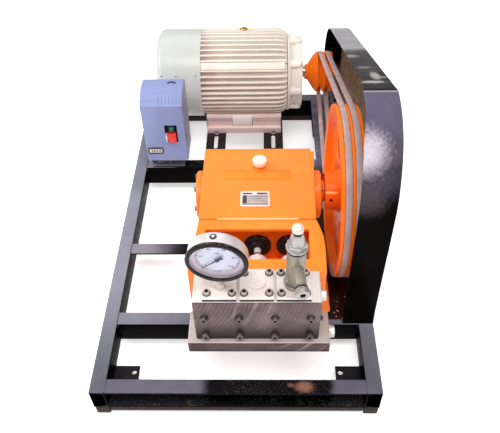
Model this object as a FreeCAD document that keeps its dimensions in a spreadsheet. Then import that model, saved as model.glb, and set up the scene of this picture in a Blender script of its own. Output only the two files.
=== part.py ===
import FreeCAD, Part
import math
import os
import re
import Sketcher

V = FreeCAD.Vector
doc = FreeCAD.newDocument("test_pump")

# ---------------------------------------------------------------------------
# Driving dimensions, in millimetres
# ---------------------------------------------------------------------------
dims = doc.addObject("Spreadsheet::Sheet", "dims")
TABLE = [
    ("skid_width", 750.0, "overall width over the side rails"),
    ("skid_length", 1290.0, "length of the side rails"),
    ("skid_top", 112.0, "height of the rail tops above the floor"),
    ("front_y", -692.5, "front face of the skid in the part frame"),
    ("channel_depth", 75.0, "rolled channel, depth"),
    ("channel_flange", 40.0, "rolled channel, flange width"),
    ("channel_web", 5.0, "rolled channel, web thickness"),
    ("channel_lip", 7.0, "rolled channel, flange thickness"),
    ("front_cross_y", 208.0, "front face of the front cross member"),
    ("middle_cross_y", 466.0, "front edge of the middle cross member"),
    ("rear_cross_y", 860.0, "front face of the rear cross member"),
    ("rear_beam_y", 1250.0, "front face of the rear beam"),
    ("gusset_reach", 67.0, "front corner gusset, reach across"),
    ("gusset_depth", 78.0, "front corner gusset, reach along"),
    ("rear_gusset_reach", 71.0, "rear corner gusset, reach across"),
    ("rear_gusset_depth", 138.0, "rear corner gusset, reach along"),
    ("gusset_sheet", 8.0, "corner gusset thickness"),
    ("anchor_radius", 7.0, "anchor hole radius"),
    ("anchor_x", 281.0, "anchor hole, half spacing across"),
    ("anchor_front_y", 99.0, "front anchor holes from the skid front"),
    ("pad_width", 38.0, "foot pad width"),
    ("pad_length", 60.0, "foot pad length"),
    ("bearer_height", 100.0, "pump bearer height"),
    ("bearer_flange", 45.0, "pump bearer flange"),
    ("slide_width", 70.0, "motor slide rail width"),
    ("slide_sheet", 10.0, "motor slide rail thickness"),
    ("slot_width", 14.0, "motor slide rail slot width"),
    ("motor_y", 1191.0, "motor shaft from the skid front"),
    ("motor_z", 170.0, "motor shaft above the rail tops"),
    ("motor_radius", 156.0, "motor body radius over the fins"),
    ("motor_shaft_radius", 21.0, "motor shaft radius"),
    ("pump_x", 58.5, "pump centre line"),
    ("pump_y", 478.0, "crankshaft from the skid front"),
    ("pump_z", 252.0, "crankshaft above the rail tops"),
    ("crank_width", 289.0, "crankcase width"),
    ("crank_shaft_radius", 22.0, "crankshaft end radius"),
    ("bearing_radius", 66.0, "bearing cover radius"),
    ("plunger_pitch", 83.0, "distance between plungers"),
    ("plunger_radius", 9.0, "plunger rod radius"),
    ("block_width", 289.0, "fluid block width"),
    ("block_depth", 92.0, "fluid block depth"),
    ("block_height", 144.0, "fluid block height"),
    ("block_front", 46.0, "fluid block front face from the skid front"),
    ("block_base", 181.0, "fluid block underside above the rail tops"),
    ("manifold_width", 338.0, "suction manifold width"),
    ("manifold_depth", 92.0, "suction manifold depth"),
    ("manifold_height", 40.0, "suction manifold height"),
    ("cover_width", 77.0, "valve cover width"),
    ("cover_depth", 83.0, "valve cover depth"),
    ("cover_sheet", 12.0, "valve cover thickness"),
    ("port_radius", 13.0, "discharge port thread radius"),
    ("suction_radius", 16.0, "suction port thread radius"),
    ("big_radius", 237.0, "pump pulley outside radius"),
    ("small_radius", 71.0, "motor pulley outside radius"),
    ("pulley_x", 262.0, "inner face of both pulleys"),
    ("pulley_width", 60.0, "pulley rim width"),
    ("belt_pitch", 25.5, "distance between belts"),
    ("belt_top", 16.6, "belt top width"),
    ("belt_height", 11.0, "belt height"),
    ("guard_inner_x", 290.0, "inner edge of the guard band at its front"),
    ("guard_sheet", 3.0, "guard sheet thickness"),
    ("gauge_x", -24.4, "gauge centre"),
    ("gauge_y", 60.0, "gauge dial front from the skid front"),
    ("gauge_z", 443.0, "gauge centre above the rail tops"),
    ("gauge_radius", 67.5, "gauge bezel radius"),
    ("valve_x", 144.5, "relief valve axis"),
    ("valve_y", 94.0, "relief valve axis from the skid front"),
    ("starter_x", -320.0, "starter box, left side"),
    ("starter_width", 137.0, "starter box width"),
    ("starter_front", 845.0, "starter box face from the skid front"),
    ("starter_base", 45.0, "starter box underside above the rail tops"),
]
D = {}
for row, (alias, value, note) in enumerate(TABLE, start=1):
    dims.set("A%d" % row, note)
    dims.set("B%d" % row, str(value))
    dims.setAlias("B%d" % row, alias)
    D[alias] = value
doc.recompute()

WORD = re.compile(r"[a-z][a-z_]*[a-z]")


def bind(obj, prop, value):
    """Set a property to a number, or bind it to cells of the sheet."""
    if isinstance(value, str):
        text = WORD.sub(lambda m: "dims." + m.group(0) if m.group(0) in D else m.group(0), value)
        obj.setExpression(prop, text)
    else:
        setattr(obj, prop, value)


def place(obj, x=0.0, y=0.0, z=0.0, rot=None):
    """Place an object. x is from the centre line, y from the skid front,
    z from the rail tops."""
    obj.Placement = FreeCAD.Placement(V(0, 0, 0), rot or FreeCAD.Rotation())
    for axis, val, shift in (("x", x, ""), ("y", y, " + front_y"), ("z", z, " + skid_top")):
        text = "(%s)%s" % (val, shift)
        text = WORD.sub(lambda m: "dims." + m.group(0) if m.group(0) in D else m.group(0), text)
        obj.setExpression("Placement.Base." + axis, text)
    return obj


ALONG_X = FreeCAD.Rotation(V(0, 1, 0), 90)
ALONG_Y = FreeCAD.Rotation(V(1, 0, 0), -90)
TO_FRONT = FreeCAD.Rotation(V(1, 0, 0), 90)
COUNT = [0]


def raw(kind):
    COUNT[0] += 1
    return doc.addObject(kind, "piece_%03d" % COUNT[0])


def box(x, y, z, lx, ly, lz):
    o = raw("Part::Box")
    bind(o, "Length", lx)
    bind(o, "Width", ly)
    bind(o, "Height", lz)
    return place(o, x, y, z)


def cyl(x, y, z, r, length, rot=None, angle=None):
    o = raw("Part::Cylinder")
    bind(o, "Radius", r)
    bind(o, "Height", length)
    if angle:
        o.Angle = angle
    return place(o, x, y, z, rot)


def cone(x, y, z, r1, r2, length, rot=None):
    o = raw("Part::Cone")
    bind(o, "Radius1", r1)
    bind(o, "Radius2", r2)
    bind(o, "Height", length)
    return place(o, x, y, z, rot)


def prism(x, y, z, sides, r, length, rot=None):
    o = raw("Part::Prism")
    o.Polygon = sides
    bind(o, "Circumradius", r)
    bind(o, "Height", length)
    return place(o, x, y, z, rot)


def fuse(items):
    if len(items) == 1:
        return items[0]
    o = raw("Part::MultiFuse")
    o.Shapes = items
    return o


def cut(base, tools):
    o = raw("Part::Cut")
    o.Base = base
    o.Tool = fuse(tools)
    return o


def group(items):
    o = raw("Part::Compound")
    o.Links = items
    return o


def near(shape, test):
    """Edge numbers whose middle point and direction pass the test."""
    out = []
    for i, e in enumerate(shape.Edges, start=1):
        a = e.valueAt(e.FirstParameter)
        b = e.valueAt(e.LastParameter)
        m = e.valueAt((e.FirstParameter + e.LastParameter) / 2.0)
        if test(e, a, b, m):
            out.append(i)
    return out


def rounded(base, radius, test, kind="Part::Fillet"):
    doc.recompute()
    o = raw(kind)
    o.Base = base
    o.Edges = [(i, radius, radius) for i in near(base.Shape, test)]
    return o


NODES = []


def node(obj, label):
    obj.Label = label
    NODES.append(obj)
    return obj


def origin_plane(body, role):
    for f in body.Origin.OriginFeatures:
        if f.Role == role:
            return f


def body_with(sketch_name, role):
    body = raw("PartDesign::Body")
    sk = body.newObject("Sketcher::SketchObject", sketch_name)
    sk.AttachmentSupport = [(origin_plane(body, role), "")]
    sk.MapMode = "FlatFace"
    return body, sk


def outline(sk, pts):
    """Closed outline of straight lines through the points."""
    first = None
    n = len(pts)
    for i in range(n):
        a, b = pts[i], pts[(i + 1) % n]
        sk.addGeometry(Part.LineSegment(V(a[0], a[1], 0), V(b[0], b[1], 0)), False)
    for i in range(n):
        sk.addConstraint(Sketcher.Constraint("Coincident", i, 2, (i + 1) % n, 1))


def pad(body, sk, length, name="Pad"):
    p = body.newObject("PartDesign::Pad", name)
    p.Profile = sk
    bind(p, "Length", length)
    sk.Visibility = False
    return p


def channel(role, sign, length, depth="channel_depth", flange="channel_flange",
            web="channel_web", lip="channel_lip", root=7.0, toe=3.0):
    """Rolled channel. The web's back lies on the sketch's vertical axis, the
    top on its horizontal axis, and the flanges reach out along sign."""
    body, sk = body_with("section", role)
    dd, ff, ww, ll = D[depth], D[flange] * sign, D[web] * sign, D[lip]
    outline(sk, [(0, 0), (ff, 0), (ff, -ll), (ww, -ll), (ww, -dd + ll),
                 (ff, -dd + ll), (ff, -dd), (0, -dd)])
    for i, c in enumerate(["Horizontal", "Vertical"] * 4):
        sk.addConstraint(Sketcher.Constraint(c, i))
    sk.addConstraint(Sketcher.Constraint("Coincident", 0, 1, -1, 1))
    sk.addConstraint(Sketcher.Constraint("Equal", 0, 6))
    sk.addConstraint(Sketcher.Constraint("Equal", 1, 5))
    if sign > 0:
        a = sk.addConstraint(Sketcher.Constraint("DistanceX", 0, 1, 0, 2, abs(ff)))
        b = sk.addConstraint(Sketcher.Constraint("DistanceX", 0, 1, 3, 1, abs(ww)))
    else:
        a = sk.addConstraint(Sketcher.Constraint("DistanceX", 0, 2, 0, 1, abs(ff)))
        b = sk.addConstraint(Sketcher.Constraint("DistanceX", 3, 1, 0, 1, abs(ww)))
    c = sk.addConstraint(Sketcher.Constraint("DistanceY", 7, 1, 7, 2, dd))
    e = sk.addConstraint(Sketcher.Constraint("DistanceY", 1, 2, 1, 1, ll))
    for idx, nm, al in ((a, "flange", flange), (b, "web", web), (c, "depth", depth), (e, "lip", lip)):
        sk.renameConstraint(idx, nm)
        sk.setExpression("Constraints." + nm, "dims." + al)
    p = pad(body, sk, length)
    doc.recompute()
    # the root radii inside and the toe radii at the flange tips
    along = V(1, 0, 0) if role == "YZ_Plane" else V(0, 1, 0)

    def flat(m):
        return (m.y, m.z) if role == "YZ_Plane" else (m.x, m.z)

    for rad, pts in ((root, [(ww, -ll), (ww, -dd + ll)]), (toe, [(ff, -ll), (ff, -dd + ll)])):
        feat = body.Tip
        hits = near(feat.Shape, lambda ed, s, t, m: abs(abs((t - s).normalize().dot(along)) - 1) < 1e-6
                    and any(abs(flat(m)[0] - q[0]) < 0.01 and abs(flat(m)[1] - q[1]) < 0.01 for q in pts))
        f = body.newObject("PartDesign::Fillet", "Radius")
        f.Base = (feat, ["Edge%d" % i for i in hits])
        f.Radius = rad
        doc.recompute()
    return body


def profile_x(pts, length):
    """Outline in the y and z plane, padded along x."""
    body, sk = body_with("profile", "YZ_Plane")
    outline(sk, pts)
    pad(body, sk, length)
    return body


def profile_z(pts, length):
    """Outline in the x and y plane, padded upward."""
    body, sk = body_with("plan", "XY_Plane")
    outline(sk, pts)
    pad(body, sk, length)
    return body


def turned(pts):
    """Outline in the x and radius plane, turned about the x axis."""
    body, sk = body_with("half_section", "XY_Plane")
    outline(sk, pts)
    r = body.newObject("PartDesign::Revolution", "Turned")
    r.Profile = sk
    r.ReferenceAxis = (sk, ["H_Axis"])
    r.Angle = 360.0
    sk.Visibility = False
    return body


# ---------------------------------------------------------------------------
# Skid frame: rolled channels, webs of the side rails inward
# ---------------------------------------------------------------------------
rail = channel("XZ_Plane", -1, "skid_length")
node(place(rail, "-skid_width/2 + channel_flange", "skid_length", 0), "left_rail")
rail = channel("XZ_Plane", 1, "skid_length")
node(place(rail, "skid_width/2 - channel_flange", "skid_length", 0), "right_rail")
INNER = "skid_width - 2*channel_flange"
INNER_X = "-skid_width/2 + channel_flange"
beam = channel("YZ_Plane", -1, INNER)
node(place(beam, INNER_X, "channel_flange", 0), "front_beam")
beam = channel("YZ_Plane", 1, INNER)
node(place(beam, INNER_X, "rear_beam_y", 0), "rear_beam")
beam = channel("YZ_Plane", 1, INNER)
node(place(beam, INNER_X, "front_cross_y", 0), "front_cross_member")
beam = channel("YZ_Plane", 1, INNER)
node(place(beam, INNER_X, "rear_cross_y", 0), "rear_cross_member")
angle = profile_x([(0, 0), (40, 0), (40, -40), (35, -40), (35, -6), (0, -6)], INNER)
node(place(angle, INNER_X, "middle_cross_y", 0), "middle_cross_member")

# corner gussets with the anchor holes, level with the bottom flanges
plates = []
for sx in (-1, 1):
    for front in (True, False):
        reach, depth = ("gusset_reach", "gusset_depth") if front else ("rear_gusset_reach", "rear_gusset_depth")
        x0 = INNER_X if sx < 0 else "skid_width/2 - channel_flange - " + reach
        y0 = "channel_flange" if front else "rear_beam_y - " + depth
        hy = "anchor_front_y" if front else "skid_length - anchor_front_y"
        base = box(x0, y0, "-channel_depth", reach, depth, "gusset_sheet")
        inner_x = sx * (D["skid_width"] / 2 - D["channel_flange"] - D[reach])
        inner_y = D["front_y"] + (D["channel_flange"] + D[depth] if front else D["rear_beam_y"] - D[depth])
        base = rounded(base, 4.0, lambda e, a, b, m: abs((b - a).z) > 1 and abs(m.x - inner_x) < 0.1
                       and abs(m.y - inner_y) < 0.1)
        hole = cyl("%d*anchor_x" % sx, hy, "-channel_depth - 5", "anchor_radius", "gusset_sheet + 10")
        plates.append(cut(base, [hole]))
node(group(plates), "corner_gussets")

# pads under the rail ends, and packing strips under the end beams
pads = []
for sx in (-1, 1):
    for y0 in ("2", "skid_length - 2 - pad_length"):
        x0 = "-skid_width/2 + 1" if sx < 0 else "skid_width/2 - 1 - pad_width"
        b = box(x0, y0, "-skid_top", "pad_width", "pad_length", "skid_top - channel_depth")
        pads.append(rounded(b, 4.0, lambda e, a, c, m: abs((c - a).z) > 1))
node(group(pads), "foot_pads")
strips = []
for y0 in ("3", "rear_beam_y + 3"):
    strips.append(box("-skid_width/2 + channel_flange + 2", y0, "-channel_depth - 25",
                      "skid_width - 2*channel_flange - 4", "channel_flange - 6", 25.0))
node(group(strips), "packing_strips")

# bearers that carry the pump, from the front to the middle cross member
left = channel("XZ_Plane", 1, 298.0, depth="bearer_height", flange="bearer_flange")
right = channel("XZ_Plane", -1, 298.0, depth="bearer_height", flange="bearer_flange")
place(left, "pump_x - 165", "middle_cross_y + 40", "bearer_height")
place(right, "pump_x + 165", "middle_cross_y + 40", "bearer_height")
node(group([left, right]), "pump_bearers")

# slotted rails under the motor feet
slides = []
for x0 in (-133.0, 75.0):
    base = box(x0, "rear_cross_y", 0, "slide_width", 490.0, "slide_sheet")
    slots = []
    for ys in (958.0, 1218.0):
        xs = x0 + D["slide_width"] / 2
        slots.append(box("%s - slot_width/2" % xs, ys, -5, "slot_width", 100.0, "slide_sheet + 10"))
        for ye in (ys, ys + 100.0):
            slots.append(cyl(xs, ye, -5, "slot_width/2", "slide_sheet + 10"))
    for ye in (878.0,):
        slots.append(cyl(x0 + D["slide_width"] / 2, ye, -5, 6.5, "slide_sheet + 10"))
    slides.append(cut(base, slots))
node(group(slides), "motor_slide_rails")

# ---------------------------------------------------------------------------
# Motor, shaft along x
# ---------------------------------------------------------------------------
node(cyl(-145.0, "motor_y", "motor_z", "motor_radius", 305.0, ALONG_X), "motor_frame")
cowl = cyl(-297.0, "motor_y", "motor_z", "motor_radius", 151.8, ALONG_X)
cowl = rounded(cowl, 26.0, lambda e, a, b, m: abs(m.x + 297.0) < 0.1)
node(cowl, "motor_fan_cowl")
shield = fuse([cyl(160.2, "motor_y", "motor_z", 136.0, 30.0, ALONG_X),
               cyl(190.2, "motor_y", "motor_z", 124.0, 22.0, ALONG_X)])
shield = cut(shield, [cyl(150.0, "motor_y", "motor_z", "motor_shaft_radius + 3", 80.0, ALONG_X)])
node(shield, "motor_end_shield")
feet = []
front_foot = profile_x([(1036, 10), (1036, 34), (1047, 37), (1050, 66), (1046, 68), (1048, 79),
                        (1120, 79), (1120, 10)], 271.0)
place(front_foot, -132.0, 0, 0)
back_foot = profile_x([(1346, 10), (1346, 34), (1335, 37), (1332, 66), (1336, 68), (1334, 79),
                       (1262, 79), (1262, 10)], 271.0)
place(back_foot, -132.0, 0, 0)
for f in (front_foot, back_foot):
    feet.append(cut(f, [cyl(-200.0, "motor_y", "motor_z", "motor_radius + 0.2", 450.0, ALONG_X)]))
node(group(feet), "motor_feet")
tbox = box(-110.0, 1296.0, 128.0, 112.0, 88.5, 98.0)
tbox = rounded(tbox, 8.0, lambda e, a, b, m: m.y > 1384.0 + D["front_y"] and abs((b - a).y) < 0.1)
tbox = cut(tbox, [cyl(-200.0, "motor_y", "motor_z", "motor_radius + 0.2", 450.0, ALONG_X)])
node(tbox, "motor_terminal_box")
node(cyl(162.0, "motor_y", "motor_z", "motor_shaft_radius", 155.0, ALONG_X), "motor_shaft")

# ---------------------------------------------------------------------------
# Pump power end
# ---------------------------------------------------------------------------
case = profile_x([(285.2, 100), (575, 100), (588, 130), (588, 250), (578, 300), (551, 345),
                  (285.2, 345)], "crank_width")
place(case, "pump_x - crank_width/2", 0, 0)
bores = [cyl("pump_x + %d*plunger_pitch" % i, 280.0, "pump_z", "plunger_radius + 2.5", 50.0, ALONG_Y)
         for i in (-1, 0, 1)]
case = cut(case, bores)
case = rounded(case, 10.0, lambda e, a, b, m: abs(m.y - (551 + D["front_y"])) < 0.1
               and abs(m.z - (345 + D["skid_top"])) < 0.1 and abs((b - a).x) > 10)
case = rounded(case, 4.0, lambda e, a, b, m: abs(m.y - (285.2 + D["front_y"])) < 0.1
               and abs(m.z - (345 + D["skid_top"])) < 0.1 and abs((b - a).x) > 10)
# the lid stands out over the right wall, more towards the rear
lid_edge = profile_z([(196, 290), (203.3, 290), (204.5, 330), (205.5, 384), (208, 460), (210, 500), (212, 538),
                      (196, 538)], 16.0)
place(lid_edge, 0, 0, 329.0)
case = fuse([case, lid_edge])
node(case, "crankcase")
# the cradle's top slopes up to the crankcase, and a lip stays over the back of its window
right_side = [(162.0, 138.2), (163, 169), (163, 206), (160.5, 238), (153, 264), (145.5, 285)]
left_side = [(162.0, 138.2), (161, 169), (156.5, 206), (150, 238), (146.5, 264), (144.5, 285)]
cradle = profile_z(right_side + [(-x, y) for x, y in left_side[::-1]], 250.0)
place(cradle, "pump_x", 0, 100.0)
wall_holes = [cyl("pump_x + %d*plunger_pitch" % i, 130.0, "pump_z", "plunger_radius + 2.5", 60.0, ALONG_Y)
              for i in (-1, 0, 1)]
above = profile_x([(130, 316.75), (290, 341.78), (290, 400), (130, 400)], 360.0)
place(above, "pump_x - 180", 0, 0)
cradle = cut(cradle, [above, box("pump_x - 126", 174.0, 196.0, 252.0, 84.0, 200.0),
                      box("pump_x - 126", 250.0, 196.0, 252.0, 60.0, 129.0)] + wall_holes)
# the right wall flares out to a wide foot on the bearer
flare = profile_x([(-195, 100), (-246, 100), (-246, 110), (-226, 190), (-217, 200), (-195, 200)], 94.0)
place(flare, 0, 180.0, 0, FreeCAD.Rotation(V(0, 0, 1), 90))
cradle = fuse([cradle, flare])
node(cradle, "crosshead_cradle")
cov_left = cyl("pump_x - crank_width/2 - 21", "pump_y - 7", "pump_z - 6", "bearing_radius", 20.8, ALONG_X)
cov_left = rounded(cov_left, 4.0, lambda e, a, b, m: m.x < -106.9)
cov_right = cut(cyl("pump_x + crank_width/2 + 0.2", "pump_y - 7", "pump_z - 6", "bearing_radius", 26.0, ALONG_X),
                [cyl(190.0, "pump_y", "pump_z", "crank_shaft_radius + 2", 60.0, ALONG_X)])
cov_right = rounded(cov_right, 4.0, lambda e, a, b, m: m.x > 229.0 and e.Curve.Radius > 50
                    if hasattr(e.Curve, "Radius") else False)
node(group([cov_left, cov_right]), "bearing_covers")
cap = fuse([cyl("pump_x + 6", 478.0, 345.2, 13.0, 8.0), cyl("pump_x + 6", 478.0, 353.0, 19.0, 16.0)])
cap = rounded(cap, 2.5, lambda e, a, b, m: abs(m.z - (369.0 + D["skid_top"])) < 0.1)
node(cap, "oil_filler_cap")

# seals on the crankcase wall and glands on the fluid end, round each plunger
seals = []
for i in (-1, 0, 1):
    disc = cut(cyl("pump_x + %d*plunger_pitch" % i, 270.0, "pump_z", 34.5, 15.0, ALONG_Y),
               [cyl("pump_x + %d*plunger_pitch" % i, 260.0, "pump_z", "plunger_radius + 2", 40.0, ALONG_Y)])
    seals.append(disc)
    gland = cut(fuse([cyl("pump_x + %d*plunger_pitch" % i, 174.2, "pump_z", 29.0, 34.0, ALONG_Y),
                      cyl("pump_x + %d*plunger_pitch" % i, 208.0, "pump_z", 24.0, 22.0, ALONG_Y)]),
                [cyl("pump_x + %d*plunger_pitch" % i, 160.0, "pump_z", "plunger_radius + 1.5", 90.0, ALONG_Y)])
    seals.append(gland)
node(group(seals), "plunger_seals")
for i, name in ((-1, "plunger_left"), (0, "plunger_middle"), (1, "plunger_right")):
    node(cyl("pump_x + %d*plunger_pitch" % i, 150.0, "pump_z", "plunger_radius", 155.0, ALONG_Y), name)

# ---------------------------------------------------------------------------
# Fluid end
# ---------------------------------------------------------------------------
block = box("pump_x - block_width/2", "block_front", "block_base", "block_width", "block_depth",
            "block_height")
block = rounded(block, 2.0, lambda e, a, b, m: True, "Part::Chamfer")
ports = [cyl("pump_x - block_width/2 - 1", "block_front + block_depth/2", "block_base + 112",
             "port_radius", 31.0, ALONG_X)]
rods = [cyl("pump_x + %d*plunger_pitch" % i, 126.0, "pump_z", "plunger_radius + 2.5", 30.0, ALONG_Y)
        for i in (-1, 0, 1)]
node(cut(block, ports + rods), "fluid_block")
manifold = box("pump_x + 3.5 - manifold_width/2", "block_front - 11", "block_base - manifold_height - 0.2",
               "manifold_width", "manifold_depth", "manifold_height")
manifold = rounded(manifold, 2.0, lambda e, a, b, m: True, "Part::Chamfer")
node(cut(manifold, [cyl("pump_x + 3.5 - manifold_width/2 - 1", "block_front - 11 + manifold_depth/2",
                        "block_base - manifold_height/2", "suction_radius", 41.0, ALONG_X)]),
     "suction_manifold")
covers = []
for i in (-1, 0, 1):
    c = box("pump_x + %d*plunger_pitch - cover_width/2" % i, "block_front + block_depth/2 - cover_depth/2",
            "block_base + block_height + 0.1", "cover_width", "cover_depth", "cover_sheet")
    c = rounded(c, 1.2, lambda e, a, b, m: m.z > D["skid_top"] + 330, "Part::Chamfer")
    if i == 0:
        c = fuse([c, cyl("pump_x", "block_front + block_depth/2 + 3", "block_base + block_height + cover_sheet",
                         21.0, 2.1)])
    covers.append(c)
node(group(covers), "valve_covers")
plugs = []
for x0, y0, z0, r, rod in (("pump_x + block_width/2 + 0.2", "block_front + block_depth/2", "block_base + 112",
                            14.0, 9.0),
                           ("pump_x + 3.5 + manifold_width/2 + 0.2", "block_front + 35",
                            "block_base - manifold_height/2", 15.0, 10.0)):
    plugs.append(fuse([cyl(x0, y0, z0, r + 1.5, 4.0, ALONG_X),
                       prism(x0 + " + 4", y0, z0, 6, r, 10.0, ALONG_X)]))
node(group(plugs), "port_plugs")

# ---------------------------------------------------------------------------
# Pressure gauge, turned a little to the left and down
# ---------------------------------------------------------------------------
YAW, TIP = -4.5, -4.3
dial_turn = (FreeCAD.Rotation(V(0, 0, 1), YAW) * FreeCAD.Rotation(V(1, 0, 0), -TIP)
             * FreeCAD.Rotation(V(1, 0, 0), 90))
FACE = dial_turn.multVec(V(0, 0, 1))


def on_gauge(depth, r, length):
    """Disc on the gauge axis; depth runs back from the bezel front."""
    o = raw("Part::Cylinder")
    bind(o, "Radius", r)
    bind(o, "Height", length)
    back = depth + length
    return place(o, "gauge_x - %.6f" % (FACE.x * back), "gauge_y - %.6f" % (FACE.y * back),
                 "gauge_z - %.6f" % (FACE.z * back), dial_turn)


shell = cut(on_gauge(6.2, 65.0, 32.0), [on_gauge(0.0, 61.5, 33.0)])
shell = rounded(shell, 5.0, lambda e, a, b, m: hasattr(e.Curve, "Radius") and abs(e.Curve.Radius - 65) < 0.1
                and e.BoundBox.Center.y > D["front_y"] + 90)
node(shell, "gauge_case")
ring = cut(on_gauge(0.0, "gauge_radius", 8.0), [on_gauge(-1.0, 57.5, 3.0), on_gauge(1.9, 60.5, 4.2),
                                                on_gauge(6.0, 65.2, 3.0)])
node(ring, "gauge_bezel")
node(on_gauge(2.1, 60.3, 2.0), "gauge_glass")
node(on_gauge(14.0, 61.3, 2.0), "gauge_dial")
hand = [on_gauge(7.4, 5.0, 3.2)]
bar = raw("Part::Box")
bar.Length, bar.Width, bar.Height = 62.0, 2.6, 1.4
# the needle points to the lower left at rest
turn = dial_turn * FreeCAD.Rotation(V(0, 0, 1), 222.0)
low = turn.multVec(V(-14.0, -1.3, 0.0))
place(bar, "gauge_x + %.6f" % (low.x - FACE.x * 9.8), "gauge_y + %.6f" % (low.y - FACE.y * 9.8),
      "gauge_z + %.6f" % (low.z - FACE.z * 9.8), turn)
node(fuse(hand + [bar]), "gauge_pointer")
stem = fuse([prism("gauge_x", "gauge_y + 22", "block_base + block_height + cover_sheet + 0.3", 6, 13.0, 17.0),
             cyl("gauge_x", "gauge_y + 22", "block_base + block_height + cover_sheet + 10", 9.0, 36.0)])
stem = cut(stem, [on_gauge(6.0, 65.2, 33.0)])
node(stem, "gauge_stem")

# ---------------------------------------------------------------------------
# Relief valve, upright on the right valve cover
# ---------------------------------------------------------------------------
TOP = "block_base + block_height + cover_sheet"
out_turn = FreeCAD.Rotation(V(0, 0, 1), 7.0) * TO_FRONT


def on_outlet(start, r, length):
    d = out_turn.multVec(V(0, 0, 1))
    o = raw("Part::Cylinder")
    bind(o, "Radius", r)
    bind(o, "Height", length)
    return place(o, "valve_x + %.6f" % (d.x * start), "valve_y + %.6f" % (d.y * start), 407.0, out_turn)


body_v = fuse([cyl("valve_x", "valve_y", TOP + " + 0.3", 26.0, 6.0),
               prism("valve_x", "valve_y", TOP + " + 6", 6, 25.0, 14.0),
               cyl("valve_x", "valve_y", TOP + " + 19", 21.5, 75.0)])
body_v = cut(body_v, [on_outlet(14.0, 13.9, 40.0)])
node(body_v, "relief_valve_body")
bonnet = fuse([cyl("valve_x", "valve_y", 431.2, 24.0, 12.0), cone("valve_x", "valve_y", 443.0, 23.0, 14.0, 46.0),
               prism("valve_x", "valve_y", 452.0, 6, 21.5, 14.0),
               cyl("valve_x", "valve_y", 489.0, 10.0, 16.0), cyl("valve_x", "valve_y", 504.0, 14.0, 24.0)])
bonnet = rounded(bonnet, 7.0, lambda e, a, b, m: abs(m.z - (528.0 + D["skid_top"])) < 0.1)
node(bonnet, "relief_valve_bonnet")
pipe = fuse([on_outlet(14.2, 13.6, 60.0), on_outlet(74.0, 15.0, 16.0)])
node(cut(pipe, [on_outlet(40.0, 6.0, 60.0)]), "relief_outlet")

# ---------------------------------------------------------------------------
# Belt drive
# ---------------------------------------------------------------------------
GROOVES = (D["pulley_width"] / 2 - D["belt_pitch"] / 2, D["pulley_width"] / 2 + D["belt_pitch"] / 2)
TAN = math.tan(math.radians(19.0))


def rim_points(radius):
    """Rim outline with two grooves, from the inner to the outer face."""
    out = [(0.0, radius)]
    for gx in GROOVES:
        wt, dp = 8.9, 13.5
        wb = wt - dp * TAN
        out += [(gx - wt, radius), (gx - wb, radius - dp), (gx + wb, radius - dp), (gx + wt, radius)]
    out.append((D["pulley_width"], radius))
    return out


R = D["big_radius"]
W = D["pulley_width"]
# the big pulley: rim with the grooves, dished web with four windows, hub
rim = turned([(0.0, 214.0)] + rim_points(R) + [(W, 214.0), (38.0, 200.2), (24.0, 200.2)])
node(place(rim, "pulley_x", "pump_y", "pump_z"), "pump_pulley_rim")
web = turned([(20.0, 60.2), (24.0, 200.0), (38.0, 200.0), (36.0, 60.2)])
place(web, "pulley_x", "pump_y", "pump_z")
holes = []
for k in range(4):
    a = math.radians(45 + 90 * k)
    holes.append(cyl("pulley_x - 10", "pump_y + %.5f" % (128.0 * math.cos(a)),
                     "pump_z + %.5f" % (128.0 * math.sin(a)), 44.0, 80.0, ALONG_X))
node(cut(web, holes), "pump_pulley_web")
hub = turned([(-22.0, 22.2), (-22.0, 50.0), (-20.0, 52.0), (14.0, 53.0), (18.0, 60.0), (W - 10.0, 60.0),
              (W - 4.0, 56.0), (W - 4.0, 22.2)])
node(place(hub, "pulley_x", "pump_y", "pump_z"), "pump_pulley_hub")
small = turned([(-37.0, 21.2), (-37.0, 27.0), (-27.0, 29.0), (-6.0, 62.0), (-6.0, 66.0), (0.0, 66.0)]
               + rim_points(D["small_radius"]) + [(W, 21.2)])
place(small, "pulley_x", "motor_y", "motor_z")
node(small, "motor_pulley")
node(cyl("pump_x + crank_width/2 + 4", "pump_y", "pump_z", "crank_shaft_radius",
         "pulley_x + pulley_width - pump_x - crank_width/2 - 6", ALONG_X), "pump_shaft")

for gx, name in zip(GROOVES, ("inner_belt", "outer_belt")):
    # closed loop of two arcs and the two straight runs tangent to them
    top = 1.5
    c1 = V(0, D["pump_y"], D["pump_z"])
    c2 = V(0, D["motor_y"], D["motor_z"])
    r1, r2 = D["big_radius"] + top, D["small_radius"] + top
    gap = (c2 - c1).Length
    base = math.atan2((c2 - c1).z, (c2 - c1).y)
    off = math.acos((r1 - r2) / gap)

    def at(c, r, ang):
        return c + V(0, math.cos(ang) * r, math.sin(ang) * r)

    a1, b1 = at(c1, r1, base + off), at(c1, r1, base - off)
    a2, b2 = at(c2, r2, base + off), at(c2, r2, base - off)
    far1, far2 = at(c1, r1, base + math.pi), at(c2, r2, base)
    path = Part.Wire([Part.Arc(b1, far1, a1).toShape(), Part.LineSegment(a1, a2).toShape(),
                      Part.Arc(a2, far2, b2).toShape(), Part.LineSegment(b2, b1).toShape()])
    inward = (c1 - b1).normalize()
    wt = D["belt_top"] / 2
    wb = wt - D["belt_height"] * TAN
    deep = inward * D["belt_height"]
    X = V(1, 0, 0)
    sect = Part.makePolygon([b1 - X * wt, b1 + X * wt, b1 + deep + X * wb, b1 + deep - X * wb, b1 - X * wt])
    loop = path.makePipeShell([sect], True, True)
    belt = raw("Part::Feature")
    belt.Shape = loop
    place(belt, "pulley_x + %.5f" % gx, 0, 0)
    node(belt, name)

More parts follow.
